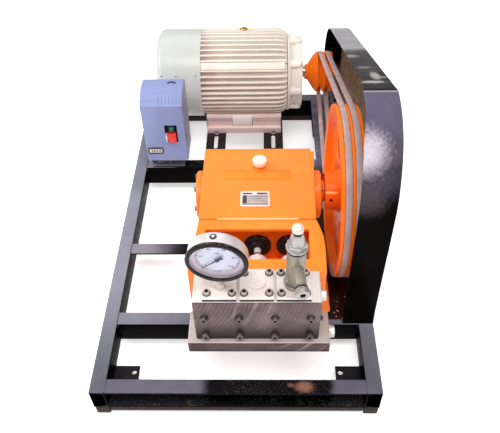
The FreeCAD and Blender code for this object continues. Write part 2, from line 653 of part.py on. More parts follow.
# ---------------------------------------------------------------------------
# Belt guard: a bent band standing on the right rail, and its outer side
# ---------------------------------------------------------------------------
LINE = [(211, 0), (216, 60), (215, 116), (215, 196), (214, 318), (213, 396), (217, 470), (238, 535),
        (265, 582), (300, 612), (341, 631), (393, 640), (1174, 347), (1248, 312), (1298, 268),
        (1328, 215), (1338, 165), (1336, 110), (1318, 60), (1268, 2)]


def offset_line(pts, dist):
    """The same open line moved sideways by dist."""
    out = []
    for i, p in enumerate(pts):
        a = pts[max(i - 1, 0)]
        b = pts[min(i + 1, len(pts) - 1)]
        n1 = (p[1] - a[1], -(p[0] - a[0])) if i else None
        n2 = (b[1] - p[1], -(b[0] - p[0])) if i < len(pts) - 1 else None
        if n1 is None:
            n1 = n2
        if n2 is None:
            n2 = n1
        l1 = math.hypot(*n1)
        l2 = math.hypot(*n2)
        u = ((n1[0] / l1 + n2[0] / l2), (n1[1] / l1 + n2[1] / l2))
        lu = math.hypot(*u)
        u = (u[0] / lu, u[1] / lu)
        cosv = u[0] * n1[0] / l1 + u[1] * n1[1] / l1
        out.append((p[0] + u[0] * dist / cosv, p[1] + u[1] * dist / cosv))
    return out


inner_line = offset_line(LINE, D["guard_sheet"])
inner_line[0] = (inner_line[0][0], 0.0)
inner_line[-1] = (inner_line[-1][0], 2.0)
band = profile_x(LINE + inner_line[::-1], "skid_width/2 - guard_inner_x")
place(band, "guard_inner_x", 0, 0.1)
# the band narrows over the bend and stays narrow along the slope
trim = profile_z([(270, 150), (290, 150), (290, 265), (296.5, 341), (297, 393), (308, 500), (308, 1400),
                  (270, 1400)], 710.0)
place(trim, 0, 0, -5.0)
node(cut(band, [trim]), "guard_band")
panel_line = offset_line(LINE, D["guard_sheet"] + 0.3)
panel_line[0] = (panel_line[0][0], 0.0)
panel_line[-1] = (panel_line[-1][0], 2.0)
panel = profile_x(panel_line, 2.5)
place(panel, "skid_width/2 - 3", 0, 0.1)
node(panel, "guard_side_panel")

# floor sheet of the guard, on the cross members under the belt run
floor_sheet = profile_z([(240, 224), (371.5, 224), (371.5, 1254), (259, 1254), (259, 900), (253, 880), (253, 650),
                         (240, 640)], 2.8)
place(floor_sheet, 0, 0, 0.2)
node(floor_sheet, "guard_floor_sheet")

# ---------------------------------------------------------------------------
# Starter box on its stand over the rear cross member
# ---------------------------------------------------------------------------
YB = D["starter_front"]
case = profile_x([(YB, 45), (YB, 272), (YB + 35, 293), (YB + 58, 303), (YB + 116, 298), (YB + 116, 45)],
                 "starter_width")
place(case, "starter_x", 0, 0)
pocket = box(-250.0, YB - 5, 126.0, 41.0, 22.0, 70.0)
case = cut(case, [pocket])
case = rounded(case, 5.0, lambda e, a, b, m: (abs(m.x - D["starter_x"]) < 0.1
                                              or abs(m.x - D["starter_x"] - D["starter_width"]) < 0.1)
               and m.y < D["front_y"] + YB + 112)
node(case, "starter_enclosure")
b = box(-235.0, YB - 1.0, 169.0, 16.0, 12.0, 19.0)
node(rounded(b, 1.5, lambda e, a, c, m: m.y < D["front_y"] + YB + 0.5, "Part::Chamfer"), "start_button")
b = box(-241.0, YB - 8.0, 128.5, 27.0, 18.0, 35.0)
node(rounded(b, 2.0, lambda e, a, c, m: m.y < D["front_y"] + YB + 0.5, "Part::Chamfer"), "stop_button")
stand = profile_x([(862, 0.2), (902, 0.2), (902, 4), (902, 36), (958, 36), (958, 44.8), (898, 44.8),
                   (898, 5), (862, 5)], 110.0)
place(stand, -310.0, 0, 0)
node(stand, "starter_bracket")
glands = []
for x0 in (-303.0, -252.0):
    glands.append(fuse([cyl(x0, 872.0, 32.8, 13.0, 12.0), prism(x0, 872.0, 22.8, 6, 12.0, 10.0),
                        cone(x0, 872.0, 12.8, 6.5, 10.0, 10.0)]))
node(group(glands), "cable_glands")

# ---------------------------------------------------------------------------
# Check and write
# ---------------------------------------------------------------------------
doc.recompute()
bad = []
for o in doc.Objects:
    if "Invalid" in o.State or "Error" in o.State:
        bad.append("%s (%s): %s" % (o.Name, o.Label, o.State))
for o in NODES:
    s = o.Shape
    if s.isNull() or not s.isValid() or s.Volume <= 0:
        bad.append("%s: shape null or not valid" % o.Label)
if bad:
    raise RuntimeError("\n".join(bad))
os.makedirs("parts", exist_ok=True)
total = 0.0
low = V(1e9, 1e9, 1e9)
high = V(-1e9, -1e9, -1e9)
for o in NODES:
    s = o.Shape
    s.exportStep("parts/%s.step" % o.Label)
    bb = s.BoundBox
    total += s.Volume
    low = V(min(low.x, bb.XMin), min(low.y, bb.YMin), min(low.z, bb.ZMin))
    high = V(max(high.x, bb.XMax), max(high.y, bb.YMax), max(high.z, bb.ZMax))
    print("%-22s %2d solids %10.1f cm3  x %.1f..%.1f  y %.1f..%.1f  z %.1f..%.1f" % (
        o.Label, len(s.Solids), s.Volume / 1000.0, bb.XMin, bb.XMax, bb.YMin, bb.YMax, bb.ZMin, bb.ZMax))
print("nodes", len(NODES), "volume m3 %.5f" % (total / 1e9), "box", low, high)
print("gauge axis", FACE.x, FACE.y, FACE.z)
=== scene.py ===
import math

import bmesh
import bpy
from mathutils import Matrix, Vector


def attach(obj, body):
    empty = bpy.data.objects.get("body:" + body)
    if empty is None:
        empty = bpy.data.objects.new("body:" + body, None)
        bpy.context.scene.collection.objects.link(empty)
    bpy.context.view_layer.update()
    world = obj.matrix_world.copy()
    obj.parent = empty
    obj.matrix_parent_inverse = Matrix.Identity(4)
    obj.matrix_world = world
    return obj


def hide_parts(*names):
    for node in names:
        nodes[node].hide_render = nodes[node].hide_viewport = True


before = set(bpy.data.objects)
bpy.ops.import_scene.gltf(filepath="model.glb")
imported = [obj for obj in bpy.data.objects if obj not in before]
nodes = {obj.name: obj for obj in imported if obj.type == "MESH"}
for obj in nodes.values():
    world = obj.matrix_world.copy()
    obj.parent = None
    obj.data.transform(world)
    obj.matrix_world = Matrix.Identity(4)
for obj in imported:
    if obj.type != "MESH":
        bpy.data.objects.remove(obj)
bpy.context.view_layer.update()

scene = bpy.context.scene
FRONT, TOP = 692.5, 112.0


# ---------------------------------------------------------------------------
# Points: millimetres, x from the centre line, y from the skid front,
# z from the rail tops
# ---------------------------------------------------------------------------
def at(v):
    return (v[0] * 0.001, (v[1] - FRONT) * 0.001, (v[2] + TOP) * 0.001)


def srgb(r, g, b, a=1.0):
    out = []
    for c in (r, g, b):
        c = c / 255.0
        out.append(c / 12.92 if c <= 0.04045 else ((c + 0.055) / 1.055) ** 2.4)
    return (out[0], out[1], out[2], a)


# ---------------------------------------------------------------------------
# Materials
# ---------------------------------------------------------------------------
class Mat:
    def __init__(self, name):
        self.m = bpy.data.materials.new(name)
        self.m.use_nodes = True
        self.nt = self.m.node_tree
        self.nt.nodes.clear()
        self.out = self.nt.nodes.new("ShaderNodeOutputMaterial")
        self.b = self.nt.nodes.new("ShaderNodeBsdfPrincipled")
        self.nt.links.new(self.b.outputs["BSDF"], self.out.inputs["Surface"])
        self.tc = self.nt.nodes.new("ShaderNodeTexCoord")

    def link(self, socket, value):
        if isinstance(value, bpy.types.NodeSocket):
            self.nt.links.new(value, socket)
        elif isinstance(value, (int, float)) and socket.type == "RGBA":
            socket.default_value = (value, value, value, 1.0)
        else:
            socket.default_value = value

    def set(self, **kw):
        names = {"color": "Base Color", "rough": "Roughness", "metal": "Metallic", "spec": "Specular IOR Level",
                 "ior": "IOR", "coat": "Coat Weight", "coat_rough": "Coat Roughness", "normal": "Normal",
                 "aniso": "Anisotropic", "trans": "Transmission Weight", "sheen": "Sheen Weight",
                 "alpha": "Alpha", "glow": "Emission Strength"}
        for k, v in kw.items():
            self.link(self.b.inputs[names[k]], v)
        return self

    def obj(self):
        return self.tc.outputs["Object"]

    def scaled(self, sx, sy, sz, vec=None, rot=(0, 0, 0)):
        n = self.nt.nodes.new("ShaderNodeMapping")
        self.link(n.inputs["Vector"], vec or self.obj())
        n.inputs["Scale"].default_value = (sx, sy, sz)
        n.inputs["Rotation"].default_value = rot
        return n.outputs["Vector"]

    def noise(self, scale, detail=4.0, rough=0.55, dist=0.0, vec=None):
        n = self.nt.nodes.new("ShaderNodeTexNoise")
        self.link(n.inputs["Vector"], vec or self.obj())
        n.inputs["Scale"].default_value = scale
        n.inputs["Detail"].default_value = detail
        n.inputs["Roughness"].default_value = rough
        n.inputs["Distortion"].default_value = dist
        return n.outputs["Fac"]

    def voronoi(self, scale, feature="F1", vec=None, random=1.0, out="Distance"):
        n = self.nt.nodes.new("ShaderNodeTexVoronoi")
        n.feature = feature
        self.link(n.inputs["Vector"], vec or self.obj())
        n.inputs["Scale"].default_value = scale
        n.inputs["Randomness"].default_value = random
        return n.outputs[out]

    def wave(self, scale, dist=0.0, vec=None, kind="BANDS", direction="X", detail=2.0, dscale=1.0):
        n = self.nt.nodes.new("ShaderNodeTexWave")
        n.wave_type = kind
        if kind == "BANDS":
            n.bands_direction = direction
        else:
            n.rings_direction = direction
        self.link(n.inputs["Vector"], vec or self.obj())
        n.inputs["Scale"].default_value = scale
        n.inputs["Distortion"].default_value = dist
        n.inputs["Detail"].default_value = detail
        n.inputs["Detail Scale"].default_value = dscale
        return n.outputs["Fac"]

    def ramp(self, fac, stops, interp="LINEAR"):
        n = self.nt.nodes.new("ShaderNodeValToRGB")
        n.color_ramp.interpolation = interp
        el = n.color_ramp.elements
        while len(el) > 1:
            el.remove(el[-1])
        for i, (pos, col) in enumerate(stops):
            if isinstance(col, (int, float)):
                col = (col, col, col, 1.0)
            e = el[0] if i == 0 else el.new(pos)
            e.position = pos
            e.color = col
        self.link(n.inputs["Fac"], fac)
        return n.outputs["Color"]

    def mix(self, fac, a, b, blend="MIX"):
        n = self.nt.nodes.new("ShaderNodeMix")
        n.data_type = "RGBA"
        n.blend_type = blend
        self.link(n.inputs[0], fac)
        self.link(n.inputs[6], a)
        self.link(n.inputs[7], b)
        return n.outputs[2]

    def math(self, op, a, b=0.0, c=0.0, clamp=False):
        n = self.nt.nodes.new("ShaderNodeMath")
        n.operation = op
        n.use_clamp = clamp
        self.link(n.inputs[0], a)
        self.link(n.inputs[1], b)
        self.link(n.inputs[2], c)
        return n.outputs[0]

    def span(self, v, a, b, c=0.0, d=1.0, smooth=False):
        n = self.nt.nodes.new("ShaderNodeMapRange")
        if smooth:
            n.interpolation_type = "SMOOTHSTEP"
        self.link(n.inputs["Value"], v)
        n.inputs["From Min"].default_value = a
        n.inputs["From Max"].default_value = b
        n.inputs["To Min"].default_value = c
        n.inputs["To Max"].default_value = d
        return n.outputs["Result"]

    def xyz(self, vec=None):
        n = self.nt.nodes.new("ShaderNodeSeparateXYZ")
        self.link(n.inputs[0], vec or self.obj())
        return n.outputs

    def up(self, lo=0.5, hi=0.95):
        """1 on surfaces that face up, 0 on those that don't."""
        return self.span(self.xyz(self.tc.outputs["Normal"])[2], lo, hi, smooth=True)

    def bump(self, height, strength=0.3, distance=0.001, normal=None):
        n = self.nt.nodes.new("ShaderNodeBump")
        n.inputs["Strength"].default_value = strength
        n.inputs["Distance"].default_value = distance
        self.link(n.inputs["Height"], height)
        if normal is not None:
            self.link(n.inputs["Normal"], normal)
        return n.outputs["Normal"]

    def near(self, axis, place, reach):
        """1 at the place on that axis (metres), falling to 0 at reach."""
        d = self.math("ABSOLUTE", self.math("SUBTRACT", self.xyz()[axis], place))
        return self.span(d, 0.0, reach, 1.0, 0.0, smooth=True)

    def spot(self, centre, radius, soft=0.5, squash=(1, 1, 1)):
        """1 inside a ball at a point in metres, with a ragged soft rim."""
        n = self.nt.nodes.new("ShaderNodeVectorMath")
        n.operation = "SUBTRACT"
        self.link(n.inputs[0], self.obj())
        n.inputs[1].default_value = centre
        s = self.nt.nodes.new("ShaderNodeVectorMath")
        s.operation = "MULTIPLY"
        self.nt.links.new(n.outputs[0], s.inputs[0])
        s.inputs[1].default_value = squash
        ln = self.nt.nodes.new("ShaderNodeVectorMath")
        ln.operation = "LENGTH"
        self.nt.links.new(s.outputs[0], ln.inputs[0])
        ragged = self.math("MULTIPLY_ADD", self.noise(140.0, 5.0, 0.65), radius * 0.9, -radius * 0.45)
        d = self.math("ADD", ln.outputs["Value"], ragged)
        return self.span(d, radius * (1.0 - soft), radius, 1.0, 0.0, smooth=True)


def specks(t, scale, size, amount):
    """Small scattered specks of dust, as a mask."""
    spots = t.math("LESS_THAN", t.voronoi(scale), size)
    patch = t.span(t.noise(9.0, 3.0), 1.0 - amount - 0.12, 1.0 - amount + 0.1)
    return t.math("MULTIPLY", spots, patch, clamp=True)


def black_enamel(name, dust=0.6, rough=0.3, dust_and_sheen=(150, 149, 168), wave=0.25, speck=0.5, patches=(), painted_dark_band=None, along=None,
                 spec=0.014, above=0.098):
    """Nearly black paint; faces that look up carry a pale layer of dust and painted sheen."""
    t = Mat(name)
    big = t.noise(5.0, 5.0, 0.6)
    fine = t.noise(260.0, 3.0)
    base = t.mix(t.span(big, 0.35, 0.7), srgb(4, 3, 4), srgb(13, 11, 13))
    # pale layer on up-facing faces: dust with painted sheen standing for the light the tops reflect
    dust_and_sheen_mask = t.math("MULTIPLY", t.up(0.6, 0.97), t.span(t.noise(16.0, 6.0, 0.62, 0.4), 0.2, 0.75, 0.78, 1.0))
    dust_and_sheen_mask = t.math("MULTIPLY", dust_and_sheen_mask, dust)
    # below the tops the layer fades out: painted shade in the channel recesses
    dust_and_sheen_mask = t.math("MULTIPLY", dust_and_sheen_mask, t.span(t.xyz()[2], above, above + 0.008, 0.12, 1.0))
    # a band across x where the layer nearly vanishes: painted shade where the tops reflect nothing bright
    if painted_dark_band:
        centre, half, fade = painted_dark_band
        d = t.math("ABSOLUTE", t.math("SUBTRACT", t.xyz()[0], centre))
        d = t.math("MULTIPLY_ADD", t.noise(38.0, 5.0, 0.6), 0.03, t.math("SUBTRACT", d, 0.015))
        dust_and_sheen_mask = t.math("MULTIPLY", dust_and_sheen_mask, t.span(d, half, half + fade, 0.03, 1.0, smooth=True))
    # layer strength changing along y: painted sheen and dust varying along the rails
    if along:
        y = t.math("MULTIPLY_ADD", t.noise(7.0, 3.0), 0.12, t.math("SUBTRACT", t.xyz()[1], 0.06))
        for a, b, c, d in along:
            dust_and_sheen_mask = t.math("MULTIPLY", dust_and_sheen_mask, t.span(y, a, b, c, d, smooth=True))
    col = t.mix(dust_and_sheen_mask, base, srgb(*dust_and_sheen))
    grime = t.math("MULTIPLY", t.span(t.noise(34.0, 6.0, 0.7), 0.56, 0.72), t.math("MULTIPLY", t.up(), 0.35 * speck))
    col = t.mix(grime, col, srgb(128, 116, 104))
    sp = specks(t, 310.0, 0.16, speck * 0.5)
    sp = t.math("MULTIPLY", sp, t.math("MULTIPLY_ADD", t.up(0.2, 0.9), 0.6, 0.06))
    col = t.mix(sp, col, srgb(176, 166, 156))
    r = t.span(t.noise(22.0, 6.0, 0.65), 0.3, 0.75, rough * 0.75, rough * 1.5)
    for centre, radius, colour, grow in patches:
        m = t.spot(centre, radius, 0.7, grow)
        col = t.mix(t.math("MULTIPLY", m, 0.8), col, srgb(*colour))
        r = t.math("MULTIPLY_ADD", m, 0.3, r)
    r = t.math("MULTIPLY_ADD", sp, 0.4, r, clamp=True)
    peel = t.noise(75.0, 2.0, 0.5)
    n = t.bump(peel, wave * 0.5, 0.0012)
    n = t.bump(fine, 0.06, 0.0006, n)
    n = t.bump(t.noise(9.0, 2.0), wave * 0.8, 0.004, n)
    t.set(color=col, rough=r, normal=n, spec=spec)
    return t.m


def guard_enamel():
    """The guard's paint: matte black, brown-grey on the slope with painted sheen and dust towards the rear, a painted
    highlight and painted sheen over the bend, clean and black below.
    """
    t = Mat("guard_enamel_black")
    x, y, z = t.xyz()[0], t.xyz()[1], t.xyz()[2]
    cloud = t.noise(13.0, 6.0, 0.62, 0.5)
    fine = t.noise(120.0, 5.0, 0.7)
    col = t.mix(t.span(t.noise(5.0, 5.0, 0.6), 0.35, 0.7), srgb(5, 3, 3), srgb(14, 10, 10))
    outer = t.span(t.xyz(t.tc.outputs["Normal"])[2], 0.12, 0.4, smooth=True)
    yb = t.math("MULTIPLY_ADD", cloud, 0.10, t.math("SUBTRACT", y, 0.05))
    # slope: brown-grey, pale grey towards the rear with painted sheen and dust
    slope = t.math("MULTIPLY", t.span(y, -0.312, -0.298, smooth=True), outer)
    brown = t.mix(t.span(fine, 0.35, 0.7), srgb(10, 6, 6), srgb(22, 16, 17))
    brown = t.mix(t.span(t.noise(9.0, 5.0, 0.6, 1.5, t.scaled(1.0, 2.6, 1.0)), 0.52, 0.70, 0.0, 0.35), brown, srgb(96, 86, 85))
    col = t.mix(slope, col, brown)
    far = t.math("MULTIPLY", t.span(yb, 0.105, 0.19, smooth=True), slope)
    col = t.mix(far, col, t.mix(t.span(cloud, 0.3, 0.7), srgb(132, 130, 132), srgb(146, 144, 146)))
    # pale streaks across the slope: painted reflections
    for centre, radius, grow, amount in (((0.346, -0.163, 0.70), 0.050, (3.2, 0.95, 0.95), 0.75),
                                         ((0.330, -0.222, 0.723), 0.040, (1.1, 2.4, 2.4), 0.85),
                                         ((0.332, -0.075, 0.668), 0.024, (1.0, 1.8, 1.8), 0.4),
                                         ((0.362, -0.178, 0.707), 0.018, (1.2, 1.2, 1.2), 0.4),
                                         ((0.318, 0.06, 0.61), 0.030, (1.0, 1.0, 1.0), 0.5)):
        m = t.math("MULTIPLY", t.spot(centre, radius, 0.6, grow), t.math("MULTIPLY", slope, amount))
        col = t.mix(m, col, srgb(168, 160, 158))
    # the two sides of the fold: a painted highlight along the edge, then painted violet sheen that thins downwards
    fold = t.math("MULTIPLY", t.near(1, -0.3015, 0.007), outer)
    col = t.mix(t.math("MULTIPLY", fold, 0.75), col, srgb(170, 166, 180))
    face = t.math("MULTIPLY", t.span(y, -0.3015, -0.3035, smooth=True), outer)
    painted_sheen = t.span(z, 0.655, 0.745, 0.30, 1.0, smooth=True)
    painted_sheen = t.math("MULTIPLY", painted_sheen, t.span(cloud, 0.3, 0.62, 0.75, 1.0))
    col = t.mix(t.math("MULTIPLY", face, painted_sheen), col, srgb(94, 89, 107))
    # painted highlight on the bend, mottled, with fainter painted sheen around and below it
    low = t.span(z, 0.50, 0.56, smooth=True)
    sparkle = t.math("MULTIPLY_ADD", fine, 0.9, 0.45, clamp=True)
    for centre, radius, colour, grow, amount in (
            ((0.300, -0.433, 0.684), 0.060, (206, 196, 208), (0.95, 0.8, 0.8), 1.0),
            ((0.352, -0.436, 0.680), 0.036, (120, 110, 116), (0.8, 1.0, 1.0), 0.3),
            ((0.308, -0.466, 0.590), 0.070, (104, 94, 100), (1.1, 0.8, 0.8), 0.5),
            ((0.340, -0.455, 0.640), 0.046, (90, 82, 88), (0.8, 1.0, 1.0), 0.35)):
        m = t.math("MULTIPLY", t.spot(centre, radius, 0.85, grow), t.math("MULTIPLY", sparkle, amount))
        col = t.mix(t.math("MULTIPLY", m, low), col, srgb(*colour))
    # pale specks over the bend: painted glints
    dots = t.math("MULTIPLY", t.math("LESS_THAN", t.voronoi(260.0), 0.16), t.span(t.noise(17.0, 3.0), 0.5, 0.62))
    dots = t.math("MULTIPLY", dots, t.span(z, 0.60, 0.66, 0.0, 0.7))
    dots = t.math("MULTIPLY", dots, t.span(z, 0.70, 0.735, 1.0, 0.0))
    col = t.mix(dots, col, srgb(214, 208, 212))
    n = t.bump(t.noise(70.0, 2.0, 0.5), 0.2, 0.0012)
    n = t.bump(t.noise(9.0, 2.0), 0.35, 0.004, n)
    t.set(color=col, rough=t.span(t.noise(22.0, 6.0, 0.65), 0.3, 0.75, 0.2, 0.36), normal=n, spec=0.01)
    return t.m


def floor_sheet_paint():
    t = Mat("guard_floor_enamel")
    # dark red-brown: black paint with the orange wheel's reflection painted in
    col = t.mix(t.span(t.noise(14.0, 5.0, 0.6), 0.35, 0.7), srgb(40, 13, 8), srgb(66, 24, 12))
    col = t.mix(t.math("MULTIPLY", t.span(t.noise(60.0, 5.0, 0.7), 0.55, 0.7), 0.4), col, srgb(24, 12, 10))
    # towards the rear a grey-violet layer of painted sheen, flecked with dust
    rear = t.span(t.xyz()[1], 0.12, 0.19, 0.0, 0.92, smooth=True)
    col = t.mix(rear, col, t.mix(t.span(t.noise(30.0, 5.0, 0.6), 0.35, 0.7), srgb(92, 88, 106), srgb(124, 120, 140)))
    col = t.mix(t.math("MULTIPLY", specks(t, 260.0, 0.16, 0.6), rear), col, srgb(196, 190, 196))
    chips = t.math("MULTIPLY", t.math("LESS_THAN", t.voronoi(95.0), 0.2), t.spot((0.305, -0.44, 0.115), 0.05, 0.5, (1, 0.8, 1)))
    col = t.mix(chips, col, srgb(226, 220, 210))
    t.set(color=col, rough=t.span(t.noise(40.0), 0.3, 0.7, 0.4, 0.65), spec=0.1, normal=t.bump(t.noise(180.0), 0.2, 0.0006))
    return t.m


M = {}
RAIL_DUST_AND_SHEEN = [(-0.66, -0.30, 0.48, 1.0), (0.03, 0.10, 1.0, 0.82)]
M["skid"] = black_enamel("skid_enamel_black", dust=0.9, rough=0.3, dust_and_sheen=(148, 150, 165), along=RAIL_DUST_AND_SHEEN)
M["beam"] = black_enamel("front_beam_enamel", dust=0.9, rough=0.26, speck=1.0, dust_and_sheen=(106, 104, 121), painted_dark_band=(0.085, 0.150, 0.03),
                         patches=[((0.176, -0.6725, 0.1122), 0.030, (150, 108, 88), (0.9, 1.4, 1.0)),
                                  ((0.142, -0.668, 0.1122), 0.012, (120, 84, 70), (0.9, 1.4, 1.0))])
M["cross3"] = black_enamel("rear_member_enamel", dust=0.85, rough=0.3, dust_and_sheen=(150, 148, 162), painted_dark_band=(-0.085, 0.135, 0.03))
M["cross2"] = black_enamel("middle_member_enamel", dust=0.85, rough=0.3, dust_and_sheen=(150, 148, 162), painted_dark_band=(0.0, 0.165, 0.14))
# slide rails: a weaker, darker layer on the tops, painted shade under the motor
M["slide"] = black_enamel("slide_rail_enamel", dust=0.3, rough=0.35, dust_and_sheen=(84, 76, 80), speck=0.3)
M["bearer"] = black_enamel("bearer_enamel", dust=0.3, rough=0.4, speck=0.3)
M["guard"] = guard_enamel()
M["floor_sheet"] = floor_sheet_paint()
M["weld"] = black_enamel("weld_enamel", dust=0.55, rough=0.35, speck=0.2, dust_and_sheen=(140, 138, 152))


def guard_inner():
    t = Mat("expanded_mesh_enamel")
    n1 = t.noise(60.0, 5.0, 0.65)
    col = t.ramp(n1, [(0.30, srgb(34, 22, 12)), (0.5, srgb(104, 76, 48)), (0.70, srgb(150, 118, 78))])
    t.set(color=col, rough=t.span(n1, 0.3, 0.8, 0.3, 0.65), spec=0.5, normal=t.bump(t.noise(400.0), 0.2, 0.0005))
    return t.m


M["mesh"] = guard_inner()


def cast_paint(name, light, dark, rough=0.36, grain=0.35, dirt=(120, 60, 20), dirt_amount=0.25, coat=0.2, spots=0.15,
               patches=(), underside_shade=None, spec=0.3):
    t = Mat(name)
    big = t.noise(7.0, 5.0, 0.6, 0.3)
    col = t.mix(t.span(big, 0.3, 0.72), srgb(*dark), srgb(*light))
    # faces turned away from up take a darker colour: painted shade
    if underside_shade:
        col = t.mix(t.up(-0.25, 0.6), srgb(*underside_shade), col)
    stain = t.math("MULTIPLY", t.span(t.noise(26.0, 8.0, 0.68, 0.8), 0.58, 0.78), dirt_amount)
    col = t.mix(stain, col, srgb(*dirt))
    dots = t.math("MULTIPLY", t.math("LESS_THAN", t.voronoi(150.0), 0.10), spots)
    dots = t.math("MULTIPLY", dots, t.span(t.noise(14.0, 3.0), 0.5, 0.6))
    col = t.mix(dots, col, srgb(*dirt))
    for centre, radius, colour, grow, amount in patches:
        col = t.mix(t.math("MULTIPLY", t.spot(centre, radius, 0.9, grow), amount), col, srgb(*colour))
    r = t.span(t.noise(40.0, 6.0, 0.6), 0.3, 0.75, rough * 0.8, rough * 1.35)
    n = t.bump(t.noise(190.0, 4.0, 0.6), grain * 0.5, 0.0009)
    n = t.bump(t.noise(24.0, 3.0, 0.5), grain, 0.002, n)
    t.set(color=col, rough=r, normal=n, spec=spec, coat=coat, coat_rough=0.2)
    return t.m


M["orange"] = cast_paint("crankcase_enamel_orange", (254, 138, 44), (249, 127, 33), 0.34, 0.3, (196, 96, 22), 0.22, coat=0.1,
                         spec=0.22)
# pale colour for the seam bead: painted highlight
M["seam"] = cast_paint("seam_painted_highlight", (255, 200, 136), (255, 176, 100), 0.34, 0.3, (206, 110, 40), 0.3, coat=0.1, spec=0.3)
# deeper orange for the inside of the cradle's well: painted shade
M["window"] = cast_paint("cradle_well_enamel_painted_shade", (255, 130, 32), (253, 110, 20), 0.34, 0.3, (190, 62, 12), 0.3, coat=0.05,
                         spec=0.2)
# patches: a pale painted highlight bar on the hub, and painted light over the shaded lower inside of the wheel
M["pulley"] = cast_paint("pulley_enamel_orange", (255, 128, 26), (255, 112, 14), 0.3, 0.2, (206, 66, 8), 0.12, 0.04, 0.05, spec=0.12,
                         patches=[((0.256, -0.2556, 0.3961), 0.014, (255, 232, 160), (0.4, 2.6, 2.6), 0.85),
                                  ((0.284, -0.3620, 0.2200), 0.085, (255, 176, 110), (1.0, 1.0, 1.0), 0.75)])
M["rim"] = cast_paint("pulley_rim_enamel", (255, 190, 150), (250, 168, 124), 0.34, 0.2, (190, 110, 70), 0.25, 0.05, 0.1, spec=0.2)
M["cream"] = cast_paint("motor_enamel_cream", (241, 234, 224), (228, 219, 208), 0.42, 0.4, (150, 132, 118), 0.22, 0.06, 0.2,
                        patches=[((-0.110, 0.40, 0.34), 0.050, (238, 190, 180), (1.0, 0.5, 0.5), 0.35),
                                 ((-0.096, 0.35, 0.22), 0.045, (234, 186, 176), (0.9, 0.6, 0.6), 0.35),
                                 ((-0.128, 0.46, 0.42), 0.040, (238, 194, 182), (1.2, 0.5, 0.6), 0.3)])
M["foot"] = cast_paint("motor_foot_enamel", (232, 208, 204), (216, 190, 186), 0.4, 0.4, (150, 122, 112), 0.3, 0.06, 0.3,
                       patches=[((-0.105, 0.345, 0.16), 0.050, (222, 176, 174), (1.0, 1, 1), 0.35)])
M["foot_pad"] = cast_paint("motor_foot_pad", (250, 244, 240), (236, 228, 224), 0.4, 0.3, (160, 140, 130), 0.2, 0.06, 0.2)
M["cowl"] = cast_paint("cowl_enamel", (200, 203, 198), (190, 193, 187), 0.3, 0.12, (160, 156, 142), 0.15, 0.15, 0.15)
M["starter"] = cast_paint("starter_enamel_blue_grey", (140, 152, 196), (130, 143, 187), 0.36, 0.16, (96, 102, 140), 0.2, 0.1, 0.2)
# lighter copy of the blue-grey for the box's end faces: painted light
M["starter_side"] = cast_paint("starter_side_painted_light", (152, 155, 176), (136, 139, 161), 0.4, 0.16, (80, 82, 104), 0.2, 0.1, 0.2)


def steel(name, light, dark, rough=0.3, metal=0.9, streak=(1, 1, 1), amount=0.5, spots=0.2, arcs=None, grain=0.25,
          stain=None, aniso=0.3):
    t = Mat(name)
    v = t.scaled(*streak)
    brush = t.noise(60.0, 6.0, 0.7, 0.0, v)
    cloud = t.noise(11.0, 6.0, 0.65, 0.6)
    col = t.mix(t.span(cloud, 0.3, 0.72), srgb(*dark), srgb(*light))
    col = t.mix(t.math("MULTIPLY", t.span(brush, 0.35, 0.7), amount), col, srgb(*[min(255, c * 1.12) for c in light]))
    r = t.span(brush, 0.3, 0.75, rough * 0.75, rough * 1.4)
    n = t.bump(brush, grain, 0.0006)
    if arcs:
        for cx, cz, size, weight in arcs:
            w = t.nt.nodes.new("ShaderNodeVectorMath")
            w.operation = "SUBTRACT"
            t.link(w.inputs[0], t.obj())
            w.inputs[1].default_value = (cx, 0.0, cz)
            ringv = t.scaled(1.0, 0.0, 1.0, w.outputs[0])
            ring = t.wave(size, 3.0, ringv, "RINGS", "SPHERICAL", 3.0, 2.0)
            m = t.span(ring, 0.55, 0.95)
            m = t.math("MULTIPLY", m, t.span(t.noise(14.0, 3.0), 0.42, 0.62))
            col = t.mix(t.math("MULTIPLY", m, weight), col, srgb(178, 166, 168))
            n = t.bump(ring, 0.15 * weight, 0.0006, n)
    if stain:
        m = t.span(t.noise(19.0, 6.0, 0.7, 1.2), 0.56, 0.74)
        col = t.mix(t.math("MULTIPLY", m, stain[1]), col, srgb(*stain[0]))
        r = t.math("MULTIPLY_ADD", m, 0.15, r)
    dots = t.math("MULTIPLY", t.math("LESS_THAN", t.voronoi(210.0), 0.12), spots)
    dots = t.math("MULTIPLY", dots, t.span(t.noise(20.0, 3.0), 0.52, 0.6))
    col = t.mix(dots, col, srgb(90, 66, 56))
    t.set(color=col, rough=r, metal=metal, normal=n, aniso=aniso)
    return t.m


M["block"] = steel("milled_block_top", (226, 216, 208), (198, 188, 182), 0.42, 0.35, (1, 9, 1), 0.5, 0.3, None, 0.2,
                   ((178, 156, 146), 0.35))


